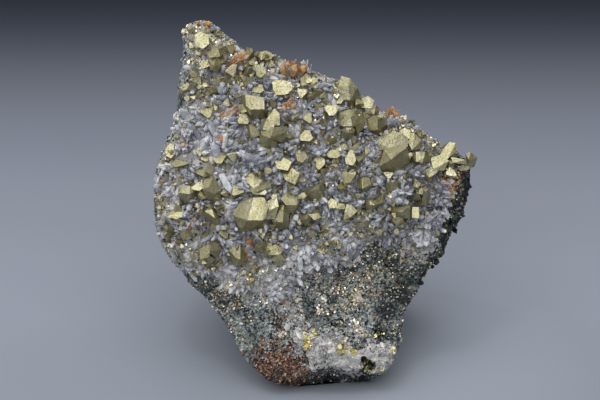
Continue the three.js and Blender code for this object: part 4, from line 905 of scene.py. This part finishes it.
def hides(tree, places):
    """Whether each place stands over or under something of the tree, seen square to the face."""
    into_face = np.broadcast_to(-FACE_OUT, places.shape)
    return meets(tree, places + FACE_OUT * OVER_PLACE, into_face, LOOK_REACH)


def bare_rock(points, normals):
    """1 where the rock's surface is bare, and 0 under the quartz and on its flat foot."""
    return ~covered(points, normals, COVER) * (points[:, 2] > 0.4)


def facing_front(points, normals):
    """1 on what faces the front and lies near it."""
    return (normals @ FACE_OUT > -0.1) * (on_grid(points)[2] > -14)


def bare_front(points, normals):
    """1 on the front's bare rock."""
    return bare_rock(points, normals) * facing_front(points, normals)


def open_side(points, normals):
    """1 on the druse's outer side and 0 on the side that lies on the rock."""
    return ~covered(points, normals, ROCK_TREE, 3.0) * (normals @ FACE_OUT > -0.35)


def quartz_side(points, normals):
    """1 where the druse carries crystals: its outer side, but not its bare rims."""
    return open_side(points, normals) * (nearness(points, BARE_RIM) < 0.3)


def prism_side(points, normals):
    """Weight of the druse's prisms: clusters with the bed's painted shade between, fewer in granular
    sulphide.
    """
    clusters = np.clip(0.55 + 1.8 * patches(points, 3.5), 0.06, 1.2)
    return quartz_side(points, normals) * clusters * (1 - 0.8 * nearness(points, GRANULAR))


def filling_crystals():
    """More small crystals in the gaps that are left, in loose chains and clusters."""
    dice = np.random.default_rng(12)
    taken = tree_of(CRYSTAL_SHAPE, LISTED_SHAPE)

    def weight(points, normals):
        beside = np.array([math.exp(-taken.find_nearest(Vector(p))[3] / 1.5) for p in points])
        open_places = (1 - 0.85 * nearness(points, MILKY)) * quartz_side(points, normals)
        rich = 0.25 + nearness(points, METAL_RICH)
        return (np.clip(clouds(points, 8.0) + 0.3, 0.05, 1) + 1.2 * beside) * rich * open_places

    places, normals = strewn(dice, CRUST_SHAPE, FILLING_TRIES, weight)
    keep = ~hides(taken, places)
    places, normals = places[keep], normals[keep]
    sizes = sizes_round(dice, 2.8, 0.36, len(places)) * (1 + 0.3 * nearness(places, METAL_RICH))
    sizes = sizes.clip(1.5, 6.0)
    chosen = [0]
    for i in range(1, len(places)):
        apart = np.linalg.norm(places[chosen] - places[i], axis=1)
        if (apart > 0.42 * (sizes[chosen] + sizes[i])).all():
            chosen.append(i)
    chosen = chosen[:FILLING]
    places, normals, sizes = places[chosen], normals[chosen], sizes[chosen]
    raised = places + unit(normals + FACE_OUT) * (0.5 + sizes * 0.4)[:, None]
    keep = (nearness(raised, BARE_RIM) < 0.2) & hides(GROUND_TREE, raised)
    raised, normals, sizes = raised[keep], normals[keep], sizes[keep]
    axes = unit(normals + dice.normal(0, 0.6, raised.shape))
    half = len(raised) // 2
    aside = dice.normal(0, 0.25, raised.shape)
    grown = raised + aside * sizes[:, None] - 0.15 * normals * sizes[:, None]
    return joined(
        grains(dice, SPHENOID, raised[:half], axes[:half], sizes[:half] * 1.35, 0.35),
        grains(dice, BLOCK, raised[half:], axes[half:], sizes[half:] * 1.3, 0.35),
        grains(dice, SPHENOID, grown, -axes, sizes * 0.65, 0.35),
    )


LISTED_SHAPE = small_crystals()
SMALL_SHAPE = joined(LISTED_SHAPE, filling_crystals())
break_edges(piece("small_chalcopyrite_crystals", SMALL_SHAPE, SMALL_CHALCOPYRITE))
METAL_TREE = tree_of(CRYSTAL_SHAPE, SMALL_SHAPE)


def nuggets():
    """Granular yellow sulphide strewn over the druse, thick along its edges and in clusters."""
    dice = np.random.default_rng(21)

    def weight(points, normals):
        return (0.03 + nearness(points, GRANULAR)) * quartz_side(points, normals)

    places, normals = strewn(dice, CRUST_SHAPE, NUGGET_COUNT, weight)
    keep = ~hides(METAL_TREE, places) & hides(GROUND_TREE, places + normals)
    places, normals = places[keep], normals[keep]
    sizes = sizes_round(dice, 1.4, 0.4, len(places)).clip(0.6, 3.2)
    axes = normals + dice.normal(0, 0.8, places.shape)
    lift = (sizes * dice.uniform(0.1, 0.7, len(sizes)))[:, None]
    return grains(dice, SPHENOID, places + normals * lift, axes, sizes, 0.35)


piece("granular_chalcopyrite", nuggets(), NUGGET)

# ---------------------------------------------------------------- quartz crystals


def druse_prisms():
    """The thousands of small prisms of the druse, grown in fans: clear, grey, milky and stained ones."""
    dice = np.random.default_rng(31)
    places, normals = strewn(dice, CRUST_SHAPE, PRISM_COUNT, prism_side)
    middles, outward = strewn(dice, CRUST_SHAPE, FAN_COUNT, quartz_side)
    fan = np.array([np.argmin(((middles - p) ** 2).sum(axis=1)) for p in places])
    fan_axes = unit(outward + dice.normal(0, 0.85, outward.shape))
    fan_widths = sizes_round(dice, 1.62, 0.38, FAN_COUNT).clip(0.7, 2.7)
    fan_chance = dice.uniform(0, 1, FAN_COUNT)
    keep = dice.uniform(0, 1, len(places)) > 0.88 * nearness(places, MILKY)
    places, normals, fan = places[keep], normals[keep], fan[keep]
    milky = nearness(places, MILKY)
    stained = nearness(places, STAINED)
    widths = (fan_widths[fan] * sizes_round(dice, 1.0, 0.28, len(places))).clip(0.5, 3.0)
    lengths = (widths * dice.uniform(1.3, 3.0, len(places))).clip(1.2, 5.4) * (1 - 0.4 * milky)
    splay = (places - middles[fan]) / 5.0
    axes = unit(fan_axes[fan] + splay + dice.normal(0, 0.13, places.shape) + 0.2 * FACE_OUT)
    axes = np.where((np.sum(axes * normals, axis=1) < 0.15)[:, None], unit(axes + normals), axes)
    tips = places + axes * (lengths * 0.8)[:, None]
    halfway = places + axes * (lengths * 0.4)[:, None]
    clear_of_metal = ~(hides(METAL_TREE, tips) | hides(METAL_TREE, halfway))
    clear_of_metal &= nearness(tips, BARE_RIM) < 0.3
    clear_of_metal &= hides(GROUND_TREE, tips) | (dice.uniform(0, 1, len(places)) < 0.06)
    shapes = prism_shapes(dice, lengths, widths, widths * 0.8)
    frames = turned(axes, dice.uniform(0, 2 * math.pi, len(places)))
    is_stained = dice.uniform(0, 1, len(places)) < stained * 0.3
    own_chance = fan_chance[fan] + dice.normal(0, 0.12, len(places))
    is_milky = ~is_stained & (dice.uniform(0, 1, len(places)) < 0.12 + 0.7 * milky)
    is_grey = ~is_stained & ~is_milky & (own_chance < 0.45)
    is_clear = ~is_stained & ~is_milky & ~is_grey
    made = {}
    kinds = {"stained": is_stained, "milky": is_milky, "grey": is_grey, "clear": is_clear}
    for kind, of_kind in kinds.items():
        which = of_kind & clear_of_metal
        made[kind] = placed(shapes[which], PRISM_FACES, places[which], frames[which])
    return made


def single_prisms():
    """The quartz crystals that stand out from the rest."""
    dice = np.random.default_rng(41)
    places, axes, lengths, widths = [], [], [], []
    for u, v, length, width, turn, tip_up in SINGLE_QUARTZ:
        along = math.cos(math.radians(turn)) * FACE_RIGHT + math.sin(math.radians(turn)) * FACE_UP
        axis = unit(along + tip_up * FACE_OUT)
        found = lands_on(GROUND_TREE, u, v)
        if found is None:
            continue
        middle = found[0] + FACE_OUT * width * GRID_STEP * 0.65
        places.append(middle - axis * length * GRID_STEP / 2)
        axes.append(axis)
        lengths.append(length * GRID_STEP)
        widths.append(width * GRID_STEP)
    lengths, widths = np.array(lengths), np.array(widths)
    shapes = prism_shapes(dice, lengths, widths, widths * 0.1)
    frames = turned(np.array(axes), dice.uniform(0, 6, len(axes)))
    return placed(shapes, PRISM_FACES, np.array(places), frames)


def quartz_lumps(seed, shape, spots, count, typical, seen_by):
    """Massive quartz without crystal faces: flat lumps sunk in a shape's skin, thick round the spots."""
    dice = np.random.default_rng(seed)

    def weight(points, normals):
        return nearness(points, spots) ** 1.5 * seen_by(points, normals)

    places, normals = strewn(dice, shape, count, weight)
    keep = ~hides(METAL_TREE, places)
    places, normals = places[keep], normals[keep]
    sizes = sizes_round(dice, typical, 0.45, len(places)).clip(0.6, 4.2)
    axes = normals + dice.normal(0, 0.25, places.shape)
    sunk = places - normals * (sizes * dice.uniform(0.0, 0.25, len(sizes)))[:, None]
    return grains(dice, FLAT_LUMP, sunk, axes, sizes, 0.45)


PRISMS = druse_prisms()
piece("clear_quartz_crystals", PRISMS["clear"], CLEAR_QUARTZ)
piece("grey_quartz_crystals", joined(PRISMS["grey"], single_prisms()), GREY_QUARTZ)
piece("milky_quartz_crystals", PRISMS["milky"], MILKY_QUARTZ)
MASS_SHAPE = joined(
    quartz_lumps(45, CRUST_SHAPE, MILKY, 1300, 2.2, open_side),
    quartz_lumps(46, FOOT_SHAPE, SEAM, 500, 1.6, facing_front),
)
SEAM_SHAPE = quartz_lumps(47, ROCK_SHAPE, SEAM, 1900, 1.3, bare_front)
piece("massive_milky_quartz", MASS_SHAPE, FOOT_QUARTZ)
piece("seam_of_milky_quartz", SEAM_SHAPE, SEAM_QUARTZ)
TOP_TREE = tree_of(ROCK_SHAPE, CRUST_SHAPE, FOOT_SHAPE, MASS_SHAPE, SEAM_SHAPE)


def stained_blades():
    """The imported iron-stained crystals with flat blades along them, and the small stained ones."""
    dice = np.random.default_rng(51)
    shapes = [PRISMS["stained"]]
    for name in STAINED_NODES:
        packed = node_shape(name)
        places, normals = strewn(dice, packed, BLADE_COUNT, facing_front)
        axes = 0.8 * FACE_UP + BLADE_LEAN[name] * FACE_RIGHT + 0.35 * FACE_OUT + 0.3 * normals
        axes = unit(axes + dice.normal(0, 0.2, places.shape))
        widths = sizes_round(dice, 1.45, 0.3, len(places))
        lengths = widths * dice.uniform(1.2, 2.3, len(places))
        blades = prism_shapes(dice, lengths, widths, lengths * 0.6) * (1.0, 0.6, 1.0)
        turns = dice.uniform(0, 6, len(places))
        shapes += [packed, placed(blades, PRISM_FACES, places, turned(axes, turns))]
    return joined(*shapes)


piece("iron_stained_quartz", stained_blades(), STAINED_QUARTZ, STAINED_NODES)

# ---------------------------------------------------------------- grains of the bare rock


def front_rock(points, normals):
    """Weight of the bare front, with a thin scatter over the sides and the back."""
    front = np.clip(normals @ FACE_OUT, 0, 1) ** 0.5 * (points[:, 1] < 15)
    return bare_rock(points, normals) * (0.14 + front)


def foot_front(points, normals):
    """Weight of the foot quartz where rock grains cling to it, in clouds."""
    return (normals @ FACE_OUT > -0.2) * np.clip(clouds(points, 5.0) + 0.1, 0.02, 1)


def rock_grains(seed, count, typical, form, weight, sink=0.15, shape=ROCK_SHAPE):
    """Grains of one mineral on the rock's surface, or on another given one."""
    dice = np.random.default_rng(seed)
    places, normals = strewn(dice, shape, count, weight)
    sizes = sizes_round(dice, typical, 0.3, count).clip(typical * 0.5, typical * 2.2)
    lift = (sizes * (dice.uniform(-0.2, 0.35, count) - sink))[:, None]
    axes = normals + dice.normal(0, 0.8, places.shape)
    return grains(dice, form, places + normals * lift, axes, sizes)


def speckled_rock(points, normals):
    """Weight of the bare front: in clouds, most where pyrite is thickest, less in rust and painted
    shade.
    """
    rich = np.clip(clouds(points, 6.0) + 0.35, 0.1, 1) + 1.2 * nearness(points, PYRITE_RICH)
    plain = (1 - 0.9 * nearness(points, RUSTED)) * (1 - 0.7 * nearness(points, PAINTED_SHADE_SPOTS))
    return front_rock(points, normals) * rich * plain


def dark_rock(points, normals):
    """Weight of the bare front where dark grains crowd."""
    return front_rock(points, normals) * np.clip(0.5 + 1.5 * patches(points), 0.1, 2)


def pale_rock(points, normals):
    """Weight of the bare front where pale grains crowd, without its rusted parts and those in painted
    shade.
    """
    plain = (1 - 0.95 * nearness(points, RUSTED)) * (1 - 0.9 * nearness(points, PAINTED_SHADE_SPOTS))
    return front_rock(points, normals) * plain * np.clip(0.5 - 1.5 * patches(points), 0.1, 2)


def shaded_wall(points, normals):
    """Weight of the broken side wall on the right, where dark grains paint its shade."""
    return bare_rock(points, normals) * nearness(points, SHADED_WALL) * (points[:, 1] < 30)


def rusted_rock(points, normals):
    """Weight of the rusted patches, with a thin scatter over the rest of the front."""
    patch = bare_rock(points, normals) * nearness(points, RUSTED) ** 1.5
    return patch + 0.07 * speckled_rock(points, normals)


def rusty_rim(points, normals):
    """Weight of the rust on the druse's right rim."""
    return quartz_side(points, normals) * nearness(points, RUSTY_RIM) ** 1.5


def glinting_druse(points, normals):
    """Weight of the bright sulphide grains of the druse, thickest among the granular sulphide."""
    return quartz_side(points, normals) * (0.15 + nearness(points, GRANULAR))


def shaded_druse_gaps(points, normals):
    """Weight of the gaps between the druse's prisms, where dark grains lie and paint the shade of the
    crevices.
    """
    return quartz_side(points, normals) * np.clip(0.5 - 1.8 * patches(points, 3.5), 0.1, 1.2)


def nests(seed, spots, typical):
    """Sulphide grains crowded in small nests on the rock and its quartz."""
    dice = np.random.default_rng(seed)
    places, axes = [], []
    for u, v, reach, count in spots:
        for spot in dice.normal(0, reach / 2, (count, 2)) + (u, v):
            found = lands_on(TOP_TREE, *spot)
            if found is not None:
                places.append(found[0] + found[1] * typical * 0.2)
                axes.append(found[1] + dice.normal(0, 0.8, 3))
    sizes = sizes_round(dice, typical, 0.3, len(places))
    return grains(dice, SPHENOID, np.array(places), np.array(axes), sizes, 0.35)


# dark chlorite grains: at random on the front and on the foot quartz, and as painted shade in the
# druse's gaps and on the right wall turned from the light
DARK_AND_SHADE_SHAPE = joined(
    rock_grains(61, 6200, 0.9, OCTAHEDRON, dark_rock),
    rock_grains(71, 260, 0.55, OCTAHEDRON, foot_front, 0.1, FOOT_SHAPE),
    rock_grains(76, 1500, 0.9, OCTAHEDRON, shaded_druse_gaps, -0.1, CRUST_SHAPE),
    rock_grains(72, 260, 2.8, BLOCK, shaded_wall, 0.1),
    rock_grains(73, 460, 1.3, CUBE, shaded_wall, 0.2),
)
PALE_SHAPE = rock_grains(62, 5500, 0.8, CUBE, pale_rock)
PYRITE_SHAPE = rock_grains(63, 1500, 0.85, CUBE, speckled_rock, -0.1)
RUST_SHAPE = joined(
    rock_grains(64, 3100, 0.65, CUBE, rusted_rock, 0.0),
    rock_grains(77, 420, 0.9, CUBE, rusty_rim, -0.5, CRUST_SHAPE),
)
BRIGHT_SHAPE = joined(
    rock_grains(67, 900, 0.6, CUBE, speckled_rock, -0.15),
    rock_grains(75, 900, 0.75, CUBE, glinting_druse, -0.5, CRUST_SHAPE),
)
WALL_SHAPE = rock_grains(74, 150, 0.8, CUBE, shaded_wall, -0.3)
piece("dark_grains_and_painted_shade", DARK_AND_SHADE_SHAPE, DARK_GRAIN)
piece("pale_rock_grains", PALE_SHAPE, PALE_GRAIN)
piece("pyrite_rock_grains", PYRITE_SHAPE, GOLD_GRAIN)
piece("rusted_rock_grains", RUST_SHAPE, RUST_GRAIN)
piece("bright_pyrite_grains", BRIGHT_SHAPE, BRIGHT_GRAIN)
piece("yellow_nests", nests(65, YELLOW_NESTS, 1.5), FRESH_NUGGET)
piece("cream_pyrite_nests", nests(66, CREAM_NESTS, 1.5), CREAM_GRAIN)
piece("wall_chalcopyrite_grains", WALL_SHAPE, NUGGET)

# ---------------------------------------------------------------- floor, light and camera


def studio_floor():
    """The sheet of paper that the specimen stands on: dull, pale grey-lavender, with painted light:
    darker towards the back as the light falls off, and lighter beside the foot, where a painted pool of
    light lifts the shadow. Its fibres are drawn coarser than they are, so that they show."""
    material, tree, position = new_material("studio_paper")
    back = add(tree, "SeparateXYZ", [position])["Y"]
    depth = add(tree, "MapRange", [back, -0.05, 0.35])[0]
    # painted light: the paper darkens towards the back as the light falls off
    tone = add(tree, "ValToRGB", [depth], [
        (0.0, 0x858a93), (0.10, 0x868b94), (0.18, 0x888d97), (0.30, 0x858a94), (0.38, 0x81868f),
        (0.47, 0x7d818c), (0.62, 0x6d717c), (0.72, 0x5b5f67), (0.82, 0x41454f), (0.88, 0x2f343d),
        (0.95, 0x1f242b), (1.0, 0x171a21),
    ])[0]
    grain = add(tree, "TexNoise", pattern(position, 0.8, Detail=2.0))["Fac"]
    fibre = add(tree, "MapRange", [grain, 0.3, 0.7, 0.97, 1.0])[0]
    # painted light: a pool of light beside the foot that lifts its shadow
    beside = add(tree, "VectorMath", [position, (0.05, -0.02, 0.0)], operation="DISTANCE")["Value"]
    painted_light_pool = add(tree, "MapRange", [beside, 0.07, 0.01, 1.0, 1.28])[0]
    level = add(tree, "Math", [fibre, painted_light_pool], operation="MULTIPLY")[0]
    shade = add(tree, "CombineColor", [level, level, level])[0]
    colour = add(tree, "Mix", {SHARE: 1.0, UNDER: tone, OVER: shade}, **MULTIPLIED)[MIXED]
    finished(material, {"Base Color": colour, "Roughness": 0.9, "Specular IOR Level": 0.1})
    mesh = bpy.data.meshes.new("studio_floor")
    half = FLOOR_HALF * MM
    corners = [(-half, -half, 0), (half, -half, 0), (half, half, 0), (-half, half, 0)]
    mesh.from_pydata(corners, [], [(0, 1, 2, 3)])
    mesh.materials.append(material)
    shown("studio_floor", mesh)


def softbox(name, place, size, power):
    """A square soft light at a place in millimetres, turned to the specimen."""
    light = bpy.data.lights.new(name, "AREA")
    light.size = size * MM
    light.energy = power
    made = shown(name, light)
    made.location = Vector(place) * MM
    aim = Vector(face_point(*GRID_MIDDLE)) * MM
    made.rotation_euler = (made.location - aim).to_track_quat("Z", "Y").to_euler()
    made.visible_camera = False


def grey_room():
    """A plain room that is pale overhead and dark below."""
    world = bpy.data.worlds.new("grey_room")
    tree = empty_tree(world)
    direction = add(tree, "TexCoord")["Generated"]
    height = add(tree, "VectorMath", [direction, (-0.36, -0.12, 0.92)], operation="DOT_PRODUCT")["Value"]
    level = add(tree, "MapRange", [height, -0.3, 0.9])[0]
    tone = add(tree, "ValToRGB", [level], [
        (0.0, 0x1d1a12), (0.22, 0x555142), (0.5, 0xccced2), (1.0, 0xecedf0),
    ])[0]
    room = add(tree, "Background", {"Color": tone, "Strength": 1.2})
    add(tree, "OutputWorld", {"Surface": room[0]})
    bpy.context.scene.world = world


def camera():
    """The camera stands square to the leaning face, far off behind a long lens."""
    lens = bpy.data.cameras.new("camera")
    lens.sensor_width = SENSOR
    lens.lens = SENSOR * CAMERA_DISTANCE / (GRID_WIDTH * GRID_STEP)
    lens.clip_start = 0.05
    lens.clip_end = 20.0
    made = shown("camera", lens)
    middle = face_point(*GRID_MIDDLE)
    frame_axes = Matrix((FACE_RIGHT, FACE_UP, FACE_OUT)).transposed().to_4x4()
    made.matrix_world = Matrix.Translation((middle + FACE_OUT * CAMERA_DISTANCE) * MM) @ frame_axes
    bpy.context.scene.camera = made


studio_floor()

# one large softbox overhead to the left, which is brightest in its middle
softbox("overhead_softbox", (-300.0, -260.0, 1500.0), 2000.0, 14.8)
softbox("softbox_middle", (-300.0, -260.0, 1480.0), 170.0, 1.7)
grey_room()
camera()
bpy.context.scene.view_settings.view_transform = "Standard"
